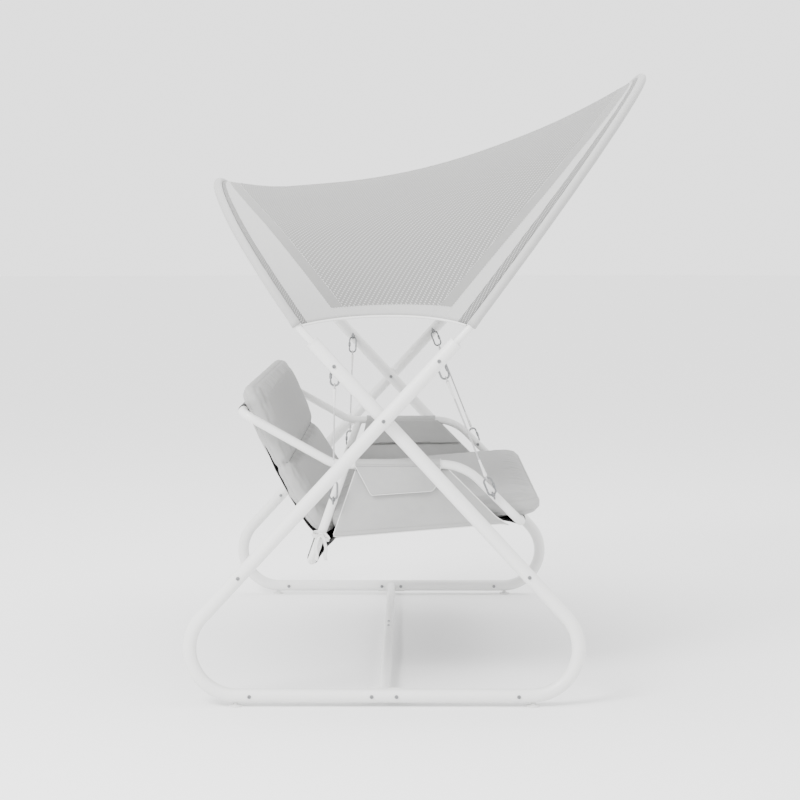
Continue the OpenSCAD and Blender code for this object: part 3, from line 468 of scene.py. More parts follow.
def woven(name, color, dark, pitch, rough=0.85, sheen=0.25, depth=0.00022):
    """A plain-weave cloth with slightly uneven threads."""
    p = Paint(name, color, rough, sheen=sheen)
    u, v = p.threads(pitch, pitch * 1.15)
    height = p.weave(u, v)
    slub = p.noise(45.0, 3.0, p.place("UV"))
    # Colour: darker where the weave dips, which is painted shade between the threads, and varying
    # at random with the slubs.
    weave_shade_and_slub = p.math("ADD", p.math("MULTIPLY", height, 0.65), p.math("MULTIPLY", slub, 0.45))
    p.set("Base Color", p.mix(weave_shade_and_slub, dark, color))
    p.set("Normal", p.bump(height, depth, 0.55, p.bump(p.noise(14.0, 3.0), 0.0012, 0.4)))
    return p.material


def mesh_cloth(name, color, light, pitch, dot):
    """A knitted mesh with staggered round openings, painted lighter than their ground to stand in
    for the light that shows through them.
    """
    p = Paint(name, color, 0.7, sheen=0.1)
    u, v = p.threads(pitch, pitch)
    gap = p.holes(u, v, dot)
    knot = p.weave(p.math("MULTIPLY", u, 4.0), p.math("MULTIPLY", v, 4.0))
    dark = tuple(0.86 * c for c in color)
    # dark is painted shade in the knit's dips; light is painted light in the openings, which are
    # only a quarter see-through.
    p.set("Base Color", p.mix(gap, p.mix(knot, dark, color), light))
    p.set("Normal", p.bump(p.math("SUBTRACT", knot, gap), 0.0003, 0.5))
    p.see_through(p.math("MULTIPLY", gap, 0.25))
    return p.material


PAINTS = {
    "white_powder_coat": powder_coat(),
    "light_plastic": light_plastic(),
    "zinc_steel": zinc(),
    "coated_wire_rope": rope_coat(),
    "grey_fabric": woven("grey_weave", grey(0.385), grey(0.30), 1.1 * MM),
    "black_mesh_fabric": woven("black_sling_weave", grey(0.006, 0), grey(0.002, 0), 1.6 * MM,
                               0.6, 0.02, 0.0004),
    # The mesh's last colour is painted light in its openings, for the light that shows through
    # them.
    "light_mesh_fabric": mesh_cloth("canopy_mesh", grey(0.195), grey(0.50), 13.0 * MM, 0.17),
}
# The last colour is painted light in the openings, for the light that shows through them.
STRIP_MESH = mesh_cloth("canopy_strip_mesh", grey(0.15, 0.003), grey(0.46), 8.0 * MM, 0.19)
PLAIN = woven("canopy_plain_weave", grey(0.24), grey(0.19), 1.0 * MM, 0.65)
TAPE = woven("canopy_tape_weave", grey(0.43), grey(0.37), 0.9 * MM, 0.6)
BORDER = woven("canopy_border_weave", grey(0.44), grey(0.33), 2.4 * MM, 0.7)
PIPING = woven("white_piping_weave", grey(0.72, 0.01), grey(0.62, 0.01), 0.8 * MM, 0.7)
THREAD = woven("grey_thread", grey(0.26), grey(0.19, 0), 0.5 * MM, 0.8)
# Near-black thread: real stitches, darkened to paint the shadow in the cushion's sewn crease and
# in the gap under the arm lining's hem.
PAINTED_SHADOW_THREAD = woven("thread_with_painted_shadow", grey(0.07, 0), grey(0.04, 0), 0.5 * MM, 0.8)

SLOT_OF = {s["node"]: s["material_slot"] for s in frame["record"]["subparts"]}
for node_name, node_object in NODES.items():
    node_object.data.materials.clear()
    node_object.data.materials.append(PAINTS[SLOT_OF[node_name]])
    for polygon in node_object.data.polygons:
        polygon.material_index = 0


def place(obj, body, slot, *nodes):
    """Puts a piece on its CAD body and hides the nodes it stands for."""
    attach(obj, body)
    if nodes:
        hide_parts(*nodes)
    return obj


def dress(obj, *nodes):
    """Puts a grey cloth piece on the seat, in place of those CAD nodes."""
    return place(obj, "seat", "grey_fabric", *nodes)


# ---------------------------------------------------------------- small sewn details


def stitches(name, points, material, length=4 * MM, gap=3 * MM, radius=0.5 * MM):
    """Thread along a line of points: one flat-ended dash after another."""
    points = np.asarray(points, float)
    run = run_along(points)
    verts, faces = [], []
    for i in range(max(int(run[-1] / (length + gap)), 1)):
        at = i * (length + gap) + gap / 2
        a, b = on_line(points, run, (at, min(at + length, run[-1])))
        along = unit(b - a + 1e-9)
        side = unit(np.cross(along, (0.31, 0.17, 0.93)))
        up = np.cross(along, side)
        first = len(verts)
        verts.append(a)
        for end in (a + 0.2 * (b - a), b - 0.2 * (b - a)):
            verts += [end + radius * way for way in (side, up, -side, -up)]
        verts.append(b)
        for k in range(4):
            m = (k + 1) % 4
            faces += [(first, first + 1 + m, first + 1 + k),
                      (first + 1 + k, first + 1 + m, first + 5 + m, first + 5 + k),
                      (first + 9, first + 5 + k, first + 5 + m)]
    return make(name, verts, faces, material)


def shell(name, points, outer, inner, material, sides=24):
    """A sleeve along points, open at both ends: outer(share along, angle round) is its
    outer radius, and inner its inner radius."""
    p = np.asarray(points, float)
    a, b = cross_ways(p)
    w = turn(sides)
    run = run_along(p)
    rings, uvs = [], []

    def add(i, r):
        ways = np.cos(w)[:, None] * a[i] + np.sin(w)[:, None] * b[i]
        rings.append(p[i] + r[:, None] * ways)
        uvs.extend((run[i], x * r[0]) for x in w)

    for i in range(len(p)):
        add(i, np.array([outer(run[i] / run[-1], x) for x in w]))
    for i in reversed(range(len(p))):
        add(i, np.full(sides, inner))
    faces = ring_faces(len(rings), sides, True)
    return make(name, np.concatenate(rings), faces, material, uvs)


def coons(bottom, top, left, right):
    """A grid that fills four edge lines: bottom and top run from left to right."""
    nu, nv = len(bottom), len(left)
    u = np.linspace(0, 1, nu)[:, None, None]
    v = np.linspace(0, 1, nv)[None, :, None]
    edges = (1 - v) * bottom[:, None] + v * top[:, None] + (1 - u) * left[None] + u * right[None]
    corners = ((1 - u) * (1 - v) * bottom[0] + u * (1 - v) * bottom[-1]
               + (1 - u) * v * top[0] + u * v * top[-1])
    return edges - corners


# ---------------------------------------------------------------- canopy

CANOPY_INSET = 13.0 * MM                     # from the middle of an arch tube to the cloth
CANOPY_END = 0.003                           # where its lower edges start along the arches
CANOPY_EDGE_RISE = 32 * MM
CANOPY_SAG = 112 * MM
REAR_BANDS = (18 * MM, 85 * MM, 32 * MM)     # dotted strip, tape and plain strip at the hem
FRONT_BANDS = (28 * MM, 45 * MM, 35 * MM)
CROWN_BANDS = (0.6, 0.12, 1.0)               # share of each width that is left at the crown
REAR_DIP = 9 * MM                            # extra hollow just in front of the rear arch
DIP_AT, DIP_WIDTH = 0.12, 0.08               # its place and width, as shares across
SIDE_BORDER = 40 * MM
BAND_CUTS = 3                                # lines of faces along each band
MESH_COLUMNS, MESH_ROWS = 26, 130            # lines of points over the mesh between them
STITCH_LIFT = 1.3 * MM                       # from the cloth's middle to the thread's
PIPE_R, PIPE_OUT = 3.4 * MM, 2.6 * MM        # piping on the lower edges
CANOPY_LENGTH = FRONT.length + REAR.length   # along the arches, their mean from foot to foot


def bow(s):
    """A parabola, 0 at both ends and 1 in the middle."""
    return 4 * s * (1 - s)


def slant(arch, q, u):
    """Sine of the angle between the direction u and an arch."""
    step = 0.002
    return np.linalg.norm(np.cross(u, unit(arch.point(q + step) - arch.point(q - step))))


def canopy_point(t, s):
    """The canopy's middle surface: t from its right to its left edge, s from rear to front."""
    edge = CANOPY_END + bow(s) * CANOPY_EDGE_RISE / CANOPY_LENGTH
    q = edge + (1 - 2 * edge) * t
    f, r = FRONT.point(q), REAR.point(q)
    u = unit(f - r)
    a = r + CANOPY_INSET / slant(REAR, q, u) * u
    b = f - CANOPY_INSET / slant(FRONT, q, u) * u
    share = 0.5 + 0.5 * math.sin(math.pi * q)
    inward = np.array([0, math.cos(math.pi * q), -math.sin(math.pi * q)])
    dip = REAR_DIP * math.exp(-((s - DIP_AT) / DIP_WIDTH) ** 2) * math.sin(math.pi * q) ** 2
    return a + s * (b - a) + (CANOPY_SAG * share * bow(s) + dip) * inward


def canopy_span(t):
    """Width of the cloth between the arches at t."""
    return np.linalg.norm(FRONT.point(t) - REAR.point(t)) - 2 * CANOPY_INSET


def band_steps(widths):
    """Distances of the lines between the faces across some bands."""
    out, at = [0.0], 0.0
    for width in widths:
        out += [at + width * (k + 1) / BAND_CUTS for k in range(BAND_CUTS)]
        at += width
    return np.array(out)


def canopy_columns(t):
    """Shares across the canopy at t: three bands by each arch and the mesh between."""
    span = canopy_span(t)
    high = math.sin(math.pi * t) ** 2
    rear, front = (band_steps([w * (1 - high + high * share)
                               for w, share in zip(bands, CROWN_BANDS)]) / span
                   for bands in (REAR_BANDS, FRONT_BANDS))
    front = 1 - front
    middle = np.linspace(rear[-1], front[-1], MESH_COLUMNS)[1:-1]
    return np.concatenate([rear, middle, front[::-1]])


def canopy_rows():
    """Shares along the canopy: a border at each lower edge and the mesh between."""
    near = band_steps((SIDE_BORDER,)) / CANOPY_LENGTH
    middle = np.linspace(near[-1], 1 - near[-1], MESH_ROWS)[1:-1]
    return np.concatenate([near, middle, 1 - near[::-1]])


def canopy_pucker(t, s, span):
    """How far the cloth stands off its smooth surface: small folds beside the arches and
    the sewn bands, and slow waves over the middle."""
    side = min(s, 1 - s) * span
    run = t * CANOPY_LENGTH
    seam = sum(REAR_BANDS if s < 0.5 else FRONT_BANDS)
    fine = bumpy((run, 0, s * 3), 22.0) * 1.6 * MM * math.exp(-side / (70 * MM))
    sewn = bumpy((run, 5, s * 2), 30.0) * 1.3 * MM * math.exp(-((side - seam) / (40 * MM)) ** 2)
    slow = bumpy((run, s * span, 2), 4.0) * 3.0 * MM * min(side / (150 * MM), 1)
    low = min(t, 1 - t) * CANOPY_LENGTH
    edge = bumpy((s * span, 1, 7), 11.0) * 2.0 * MM * math.exp(-low / (80 * MM))
    return fine + sewn + slow + edge * bow(s)


def canopy_grid():
    """The canopy's points, rows of them from its right to its left edge."""
    rows = canopy_rows()
    grid = np.array([[canopy_point(t, s) for s in canopy_columns(t)] for t in rows])
    n = normals_of(grid)
    for i, t in enumerate(rows):
        span = canopy_span(t)
        for j, s in enumerate(canopy_columns(t)):
            grid[i, j] += n[i, j] * canopy_pucker(t, s, span)
    return grid


def canopy_slot(i, j, rows, cols):
    """The band that a face is in: 0 mesh, 1 dotted strip, 2 tape, 3 plain, 4 side border."""
    band = min(j, cols - 2 - j) // BAND_CUTS
    if band < 2:
        return 1 + band
    if min(i, rows - 2 - i) < BAND_CUTS:
        return 4
    return 3 if band == 2 else 0


def canopy_stitch_lines(grid):
    """Threads over the sewn bands' edges, just proud of the cloth's upper face."""
    n = normals_of(grid)
    above = grid + n * np.sign(n[:, :, 2].mean()) * STITCH_LIFT
    for side, edge, way in (("rear", 0, 1), ("front", -1, -1)):
        for k in (1, 2, 3):
            yield f"canopy_stitch_{side}_{k}", above[:, edge + way * k * BAND_CUTS]
    for side, row in (("right", BAND_CUTS), ("left", -1 - BAND_CUTS)):
        yield f"canopy_stitch_{side}_border", above[row, 2 * BAND_CUTS:-2 * BAND_CUTS]


def build_canopy():
    """The canopy's cloth, the threads over its bands, its piping and its two hems."""
    sleeves = [build_sleeve("front", FRONT), build_sleeve("rear", REAR)]
    grid = canopy_grid()
    rows, cols = grid.shape[:2]
    cloths = [PAINTS["light_mesh_fabric"], STRIP_MESH, TAPE, PLAIN, BORDER]
    panel = cloth("canopy_cloth", grid, 1.6 * MM, cloths,
                  lambda i, j: canopy_slot(i, j, rows, cols))
    place(panel, "stand", "light_mesh_fabric", "canopy_panel")
    for name, line in canopy_stitch_lines(grid):
        place(stitches(name, line, PIPING, 5 * MM, 2.5 * MM, 0.55 * MM),
                             "stand", "light_mesh_fabric")
    column = 15                              # about the middle, where each edge's way is read
    for side, row, inside in (("right", 0, 1), ("left", -1, -2)):
        line = grid[row] + PIPE_OUT * unit(grid[row, column] - grid[inside, column])
        cord = sweep(f"canopy_piping_{side}", line, PIPE_R, PIPING, 12)
        place(cord, "stand", "light_mesh_fabric", "canopy_edge_cords")


SLEEVE_START = 3 * MM
SLEEVE_RIM, SLEEVE_RIM_LEN = 0.9 * MM, 24 * MM


def build_sleeve(end, arch):
    """The hem that an arch tube runs through, with a folded rim at each end."""
    start = SLEEVE_START / (2 * arch.length)
    line = [arch.point(t) for t in np.linspace(start, 1 - start, 150)]

    def radius(share, w):
        run = share * 2 * arch.length
        rim = SLEEVE_RIM if min(run, 2 * arch.length - run) < SLEEVE_RIM_LEN else 0.0
        fold = bumpy((run, math.cos(w) * 0.1, math.sin(w) * 0.1), 26.0)
        return SLEEVE_R + rim + 0.5 * MM * fold

    obj = shell(f"canopy_sleeve_{end}", line, radius, ARCH_TUBE_R + 0.4 * MM, TAPE, 20)
    place(obj, "stand", "light_mesh_fabric", f"canopy_{end}_sleeve")
    return obj


# ---------------------------------------------------------------- ropes

ROPE_D = 4.5 * MM
ROPE_EYE_R, ROPE_EYE_WIRE_R = 7 * MM, 2 * MM
COLLAR_R, COLLAR_LEN = 5 * MM, 9 * MM
SLEEVE_LEN = 45 * MM
STRANDS = 6
STRAND_PITCH = 24 * MM
ROPE_TUCK = 2 * MM                           # hidden in the crimped sleeve at each end
GRIP_R, GRIP_LEN = 3.7 * MM, 15 * MM
GRIP_RIBS = 12


def axis_of(node):
    """Middle, direction and half length of a long thin CAD node."""
    p = np.array([v.co for v in NODES[node].data.vertices])
    centre = (p.min(0) + p.max(0)) / 2
    way = np.linalg.eigh(np.cov((p - p.mean(0)).T))[1][:, 2]
    way = way * np.sign(way[2])
    run = (p - centre) @ way
    centre = centre + way * (run.max() + run.min()) / 2
    return centre, way, (run.max() - run.min()) / 2


def rope_fitting(name, end, inward):
    """The crimped eye at a rope's end: a ring of rope, a collar and a tapered sleeve."""
    ring_at = end + inward * (ROPE_EYE_R + ROPE_EYE_WIRE_R)
    ring = [ring_at + ROPE_EYE_R * (math.cos(w) * inward + math.sin(w) * np.array([0, 1, 0]))
            for w in turn(40)]
    eye = sweep(name + "_eye", ring, ROPE_EYE_WIRE_R, PAINTS["coated_wire_rope"], 12, closed=True)
    at = ring_at + inward * ROPE_EYE_R
    collar, tip = COLLAR_LEN / MM, (COLLAR_LEN + SLEEVE_LEN) / MM
    steps = ((-1.0, 0.75), (0.0, 0.95), (0.6, 1.0), (collar - 1, 1.0), (collar, 0.93),
             (collar + 0.8, 0.9), ((collar + tip) / 2, 0.72), (tip - 1, 0.60), (tip, 0.5))
    line = [at + inward * d * MM for d, _ in steps]
    crimp = sweep(name + "_crimp", line, [COLLAR_R * r for _, r in steps],
                  PAINTS["light_plastic"], 20)
    return eye, crimp


def build_rope(name):
    """One twisted wire rope between its two crimped eyes."""
    node, body = "rope_" + name, "hanger_" + name
    centre, way, half = axis_of(node)
    fitting = 2 * (ROPE_EYE_R + ROPE_EYE_WIRE_R) + COLLAR_LEN + SLEEVE_LEN
    bare = half - fitting + 2 * ROPE_TUCK
    count = 160
    line = [centre + way * x for x in np.linspace(bare, -bare, count)]
    twist = np.linspace(0, 2 * bare / STRAND_PITCH * 2 * math.pi, count)
    strand = sweep("wire_rope_" + name, line, ROPE_D / 2, PAINTS["coated_wire_rope"],
                   profile=lobed(STRANDS, 0.07, 5 * STRANDS), twist=twist)
    place(strand, body, "coated_wire_rope", node)
    for level, sign in (("upper", 1), ("lower", -1)):
        for piece in rope_fitting(f"rope_{level}_{name}", centre + sign * half * way, -sign * way):
            place(piece, body, "coated_wire_rope", node)


def build_grip(node, body):
    """The thick ribbed grip round the middle of a snap hook's gate."""
    centre, way, _ = axis_of(node)
    steps = ((-1.0, 0.75), (-0.88, 1.0), (0.88, 1.0), (1.0, 0.75))
    line = [centre + way * (share * GRIP_LEN / 2) for share, _ in steps]
    place(sweep("grip_" + node, line, [GRIP_R * r for _, r in steps], PAINTS["zinc_steel"],
                profile=lobed(GRIP_RIBS, 0.06, 4 * GRIP_RIBS)), body, "zinc_steel")


# ---------------------------------------------------------------- sling

POCKET_R = SEAT_TUBE_R + 1.6 * MM
SLING_T = 2.2 * MM


def tube_loop(centre, start, end, r=POCKET_R):
    return arc(centre, r, start, end, 40)


def sling_back_line():
    """Side view of the sling's back, from round its upper tube to round its lower one."""
    knees = [base_point(-313, 623), base_point(-238, 486), base_point(-201, 440)]
    return even(np.concatenate([tube_loop(UPPER_REAR, 345, 23.4), smooth_line(knees, 60),
                                tube_loop(LOWER_REAR, 14, -70, POCKET_R + SLING_T)]), 150)


def sling_seat_line():
    """Side view of the sling's seat, from round its rear tube to round its front one."""
    knees = [base_point(-172, 394), base_point(-140, 438), base_point(322, 480),
             base_point(356, 473)]
    bent = np.concatenate([even(knees[:2], 10), even(knees[1:3], 40)[1:],
                           even(knees[2:], 8)[1:]])
    return even(np.concatenate([tube_loop(LOWER_REAR, -330, -36), bent,
                                tube_loop(FRONT_LOW, -106, 190)]), 170)


def sling_grid(line, widen):
    """The side-view line across the seat; widen(x) adds to its half width."""
    half = SLING_HALF + np.array([widen(x) for x in line[:, 0]])
    grid = np.array([np.stack([line[:, 0], a * half, line[:, 1]], 1)
                     for a in np.linspace(-1, 1, 41)])
    n = normals_of(grid)
    for i, j in np.ndindex(grid.shape[:2]):
        tube = min(np.linalg.norm(grid[i, j, [0, 2]] - c)
                   for c in (UPPER_REAR, LOWER_REAR, FRONT_LOW))
        loose = clamp((tube - 30 * MM) / (80 * MM))
        grid[i, j] += n[i, j] * bumpy(grid[i, j], 9.0) * 1.5 * MM * loose
    return grid


def seat_widening(x):
    """The seat part reaches out to the side tubes between its knees."""
    low, high = base_point(-172, 0)[0], base_point(340, 0)[0]
    ramp = 30 * MM
    rise = clamp((x - low) / ramp) * clamp((high - x) / ramp)
    return (SIDE_Y - 2 * MM - SLING_HALF) * rise * rise * (3 - 2 * rise)


def edge_threads(name, grid, rows, slot_name, lift):
    """Stitches along some rows of a seat cloth's grid, on both of its faces."""
    n = normals_of(grid)
    out = []
    for k, row in enumerate(rows):
        for face, sign in (("a", 1), ("b", -1)):
            line = grid[row] + sign * n[row] * lift
            out.append(place(stitches(f"{name}_{k + 1}{face}", line, THREAD, 5 * MM, 3 * MM,
                                      0.45 * MM), "seat", slot_name))
    return out


def build_sling():
    """The black sling: a back and a wider seat, each sewn round two tubes."""
    parts = (("sling_back", sling_back_line(), lambda x: 0.0, SLING_HALF,
              ["upper_rear_tube", "lower_rear_tube"]),
             ("sling_seat", sling_seat_line(), seat_widening, SIDE_Y,
              ["lower_rear_tube", "front_tube"]))
    for name, line, widen, half, tubes in parts:
        grid = sling_grid(line, widen)
        obj = cloth(name, grid, SLING_T, PAINTS["black_mesh_fabric"])
        place(obj, "seat", "black_mesh_fabric", "sling")
        threads = edge_threads(name + "_stitch", grid, (1, -2), "black_mesh_fabric", 1.4 * MM)


# ---------------------------------------------------------------- armrests

PANEL_T = 2.4 * MM
FLAP_GAP = 15.6 * MM                         # from the arm tube's middle out to the flap
COVER_R, COVER_BORE = 14.9 * MM, 13.0 * MM
COVER_HEM, COVER_HEM_LEN = 0.6 * MM, 12 * MM
COVER_RIM_R = 15.2 * MM                      # piping round each end of the cover


def polyline(points, count, y):
    return side_view(even(np.array(points), count), y)


def panel_grid(y, nu=44, nv=26):
    """One armrest's hanging side, between the arm tube and the sling."""
    rear_top, front_top = base_point(-81, 632), base_point(178, 632)
    rear_low, front_low = base_point(-146, 443), base_point(350, 474)
    bottom = polyline([rear_low, base_point(-132, 439), base_point(326, 477), front_low], nu, y)
    top = polyline([rear_top, front_top], nu, y)
    left = polyline([rear_low, rear_top], nv, y)
    right = polyline([front_low, base_point(314, 496), front_top], nv, y)
    grid = coons(bottom, top, left, right)
    side = math.copysign(1, y)
    for i, j in np.ndindex(nu, nv):
        x, _, z = grid[i, j]
        free = math.sin(math.pi * i / (nu - 1)) * math.sin(math.pi * j / (nv - 1))
        slow = bumpy(grid[i, j], 7.0, 4.0) * 5.0 * MM
        fold = bumpy((x * 2, side, z * 0.6), 14.0) * 2.0 * MM
        grid[i, j, 1] += side * free * (3 * MM + slow + fold)
    return grid


def flap_grid(y, rear, hem, corner, front, foot, nu=40, nv=20):
    """A flap that hangs from over the arm tube: its rear, hem, front corner and front
    points in the side view, and how far out from the tube's middle its hem hangs."""
    top_rear, top_front = base_point(rear, ARM_Z / MM), base_point(front, ARM_Z / MM)
    hem, turned, low_front = (base_point(*q) for q in (hem, *corner))
    bottom = polyline([hem, turned, low_front], nu, y)
    top = polyline([top_rear, top_front], nu, y)
    left = polyline([hem, top_rear], nv, y)
    right = polyline([low_front, top_front], nv, y)
    grid = coons(bottom, top, left, right)
    side = math.copysign(1, y)
    way = math.copysign(1, foot)
    for i, j in np.ndindex(nu, nv):
        v = j / (nv - 1)
        wave = bumpy((grid[i, j, 0], side, way), 12.0) * 2.2 * MM * (1 - v)
        out = foot + (way * FLAP_GAP - foot) * v
        grid[i, j, 1] += side * (out + way * (wave + 0.8 * MM * math.sin(math.pi * v)))
    return grid


def build_flap(name, grid, side, seam, thread, pipe=True):
    """One flap of an arm cover with the thread along its seam, and its piping if it has any."""
    hang = cloth(name + "_" + side, grid, 1.8 * MM, PAINTS["grey_fabric"])
    dress(hang, "arm_covers")
    edges = [dress(stitches(name + "_stitch_" + side, seam, thread, 6 * MM, 1.5 * MM, 0.8 * MM))]
    if pipe:
        edges.append(piped(name + "_piping_" + side, grid, 1.2 * MM))


def piped(name, grid, radius):
    """Piping down, along and up a grid's three lower edges."""
    line = np.concatenate([grid[0][::-1], grid[:, 0], grid[-1]])
    line = even(line, int(line_length(line) / (8 * MM)))
    return dress(sweep(name, line, radius, PIPING, 10))


def build_armrest(side, sign):
    """One armrest: its hanging panel, the cover round its tube and the cover's two flaps."""
    y = sign * SIDE_Y
    panel = panel_grid(y)
    obj = cloth("arm_panel_" + side, panel, PANEL_T, PAINTS["grey_fabric"])
    dress(obj, "arm_panels")
    trims = [piped("arm_panel_piping_" + side, panel, 1.7 * MM)]
    trims += edge_threads("arm_panel_stitch_" + side, panel.transpose(1, 0, 2), (2,),
                          "grey_fabric", 1.6 * MM)

    x0, x1 = COVER_LOW.x, COVER_HIGH.x
    axis = [np.array([x, y, ARM_Z]) for x in np.linspace(x0, x1, 60)]

    def outside(share, w):
        edge = min(share, 1 - share) * (x1 - x0)
        hem = COVER_HEM if edge < COVER_HEM_LEN else 0.0
        fold = bumpy((share * 0.3, math.cos(w) * 0.05, w * 0.02), 30.0)
        return COVER_R + hem + fold * 0.7 * MM

    wrap = shell("arm_cover_" + side, axis, outside, COVER_BORE, PAINTS["grey_fabric"], 28)
    dress(wrap, "arm_covers")
    for end, x in (("rear", x0 + 1 * MM), ("front", x1 - 1 * MM)):
        ring = [(x, y + COVER_RIM_R * math.cos(w), ARM_Z + COVER_RIM_R * math.sin(w))
                for w in turn(36)]
        dress(sweep(f"arm_cover_rim_{side}_{end}", ring, 1.2 * MM, PIPING, 8,
                                closed=True))
    seam = [(x, y - sign * 15.4 * MM, ARM_Z - 3 * MM) for x in np.linspace(x0, x1, 40)]
    dress(stitches("arm_cover_seam_" + side, seam, THREAD))

    outer = flap_grid(y, -84, (-38, 560), ((134, 572), (149, 595)), 157, FLAP_GAP)
    build_flap("arm_flap", outer, side, outer[:, -2] + np.array([0, sign * 1.3 * MM, 0]), THREAD)
    inner = flap_grid(y, -84, (-103, 562), ((236, 566), (243, 567)), 165, -5 * MM)
    # The lining's hem thread is near-black: real stitches, painted as the shadow in the gap under
    # the hem.
    hem = inner[:, 1] - np.array([0, sign * 1.5 * MM, 0])
    sewn = (hem[:, 0] > base_point(-43, 0)[0]) & (hem[:, 0] < base_point(147, 0)[0])
    build_flap("arm_lining", inner, side, hem[sewn], PAINTED_SHADOW_THREAD, False)


# ---------------------------------------------------------------- ties

RIBBON_T, RIBBON_W = 1.0 * MM, 11 * MM
BAND_R, BAND_W = 14 * MM, 12 * MM            # the turn of ribbon round the tube
KNOT_OUT = 16.5 * MM                         # from the tube's middle to the knot's
KNOT_R = 3.2 * MM
TAIL_FALLS = (("a", 1, 66), ("b", -1, 78))   # label, way and how far it hangs, in mm
TIE_AT = base_point(-179.6, 448)             # on the side tube, where the cushions meet
SIDE_TOP = base_point(-109.3, ARM_Z / MM)    # ends of the side tubes' middle line
SIDE_FOOT = base_point(-208, 368)


def ribbon(part, side, points, width_way):
    """A flat ribbon along points, its width along width_way."""
    p = smooth_line(points, 36)
    grid = []
    for q, along in zip(p, np.gradient(p, axis=0)):
        wide = unit(width_way - unit(along) * (unit(along) @ width_way))
        grid.append([q + wide * (a * RIBBON_W) for a in (-0.5, -0.25, 0, 0.25, 0.5)])
    obj = cloth(f"cushion_{part}_low_{side}", grid, RIBBON_T, PIPING)
    dress(obj, "cushion_ties")


def build_tie(side, sign):
    """A ribbon tied round a side tube: band, knot, two loops and two hanging tails."""
    centre = np.array([TIE_AT[0], sign * SIDE_Y, TIE_AT[1]])
    up = unit((98.7, 0, 278))                # along the side tube
    out = np.array([0.0, sign, 0.0])
    fore = np.cross(up, out)
    down = np.array([0.0, 0.0, -1.0])
    axis = [centre + up * x for x in np.linspace(-BAND_W / 2, BAND_W / 2, 7)]
    band = shell(f"cushion_tie_band_low_{side}", axis,
                 lambda s, w: 14.4 * MM + 0.5 * MM * math.sin(7 * w + 6 * s), 12.7 * MM,
                 PIPING, 28)
    dress(band, "cushion_ties")

    k = centre + out * KNOT_OUT
    knot = [k + (fore * f + up * u + out * o) * MM
            for f, u, o in ((-5, -3, -1), (-2, -4, 2), (3, -3, 3), (5, 0, 1), (3, 4, 2.5),
                            (-2, 4, 3), (-5, 1, 0.5))]
    dress(sweep(f"cushion_tie_knot_low_{side}", smooth_line(knot, 40), KNOT_R, PIPING, 12),
          "cushion_ties")
    for label, way, fall in TAIL_FALLS:
        loop, tail = ([k + (fore * way * f + down * d + out * o) * MM for f, d, o in steps]
                      for steps in (((0, 0, 0), (12, -5, 0), (24, 4, 3), (12, 9, 4), (0, 0, 3)),
                                    ((2, 0, 0), (9, 12, 4), (15, 0.5 * fall, 3),
                                     (12, 0.8 * fall, 5), (15, fall, 3))))
        ribbon(f"loop{label}", side, loop, up + out * 0.3)
        ribbon(f"tail{label}", side, tail, fore * 0.9 + out * 0.5)


# ---------------------------------------------------------------- cushions

START_SHARE = 0.9                            # thickness before filling, as a share
START_CUTS = (64, 120)                       # points along and across, before the remesh
VOXEL = 10 * MM
SEAM_IN = 9 * MM                             # sewn seam, in from the cushion's side
FRAMES, PRESSURE = 20, 3.5                   # of the cloth simulation
MOST_MOVE = 10 * MM                          # that it may move a point
CHANNEL_DEPTH, CHANNEL_WIDTH = 8.5 * MM, 9 * MM
DISH_DEPTH, DISH_WIDTH = 3.0 * MM, 45 * MM   # the wider hollow that a channel pulls in
SEAM_DEPTH, SEAM_WIDTH = 1.8 * MM, 5 * MM
BACK_SHARE = 0.35                            # of a channel's depth, on the cushion's back
RAY_FROM = 120 * MM                          # off the mid-line, well clear of the cushion
THREAD_LIFT = 0.5 * MM


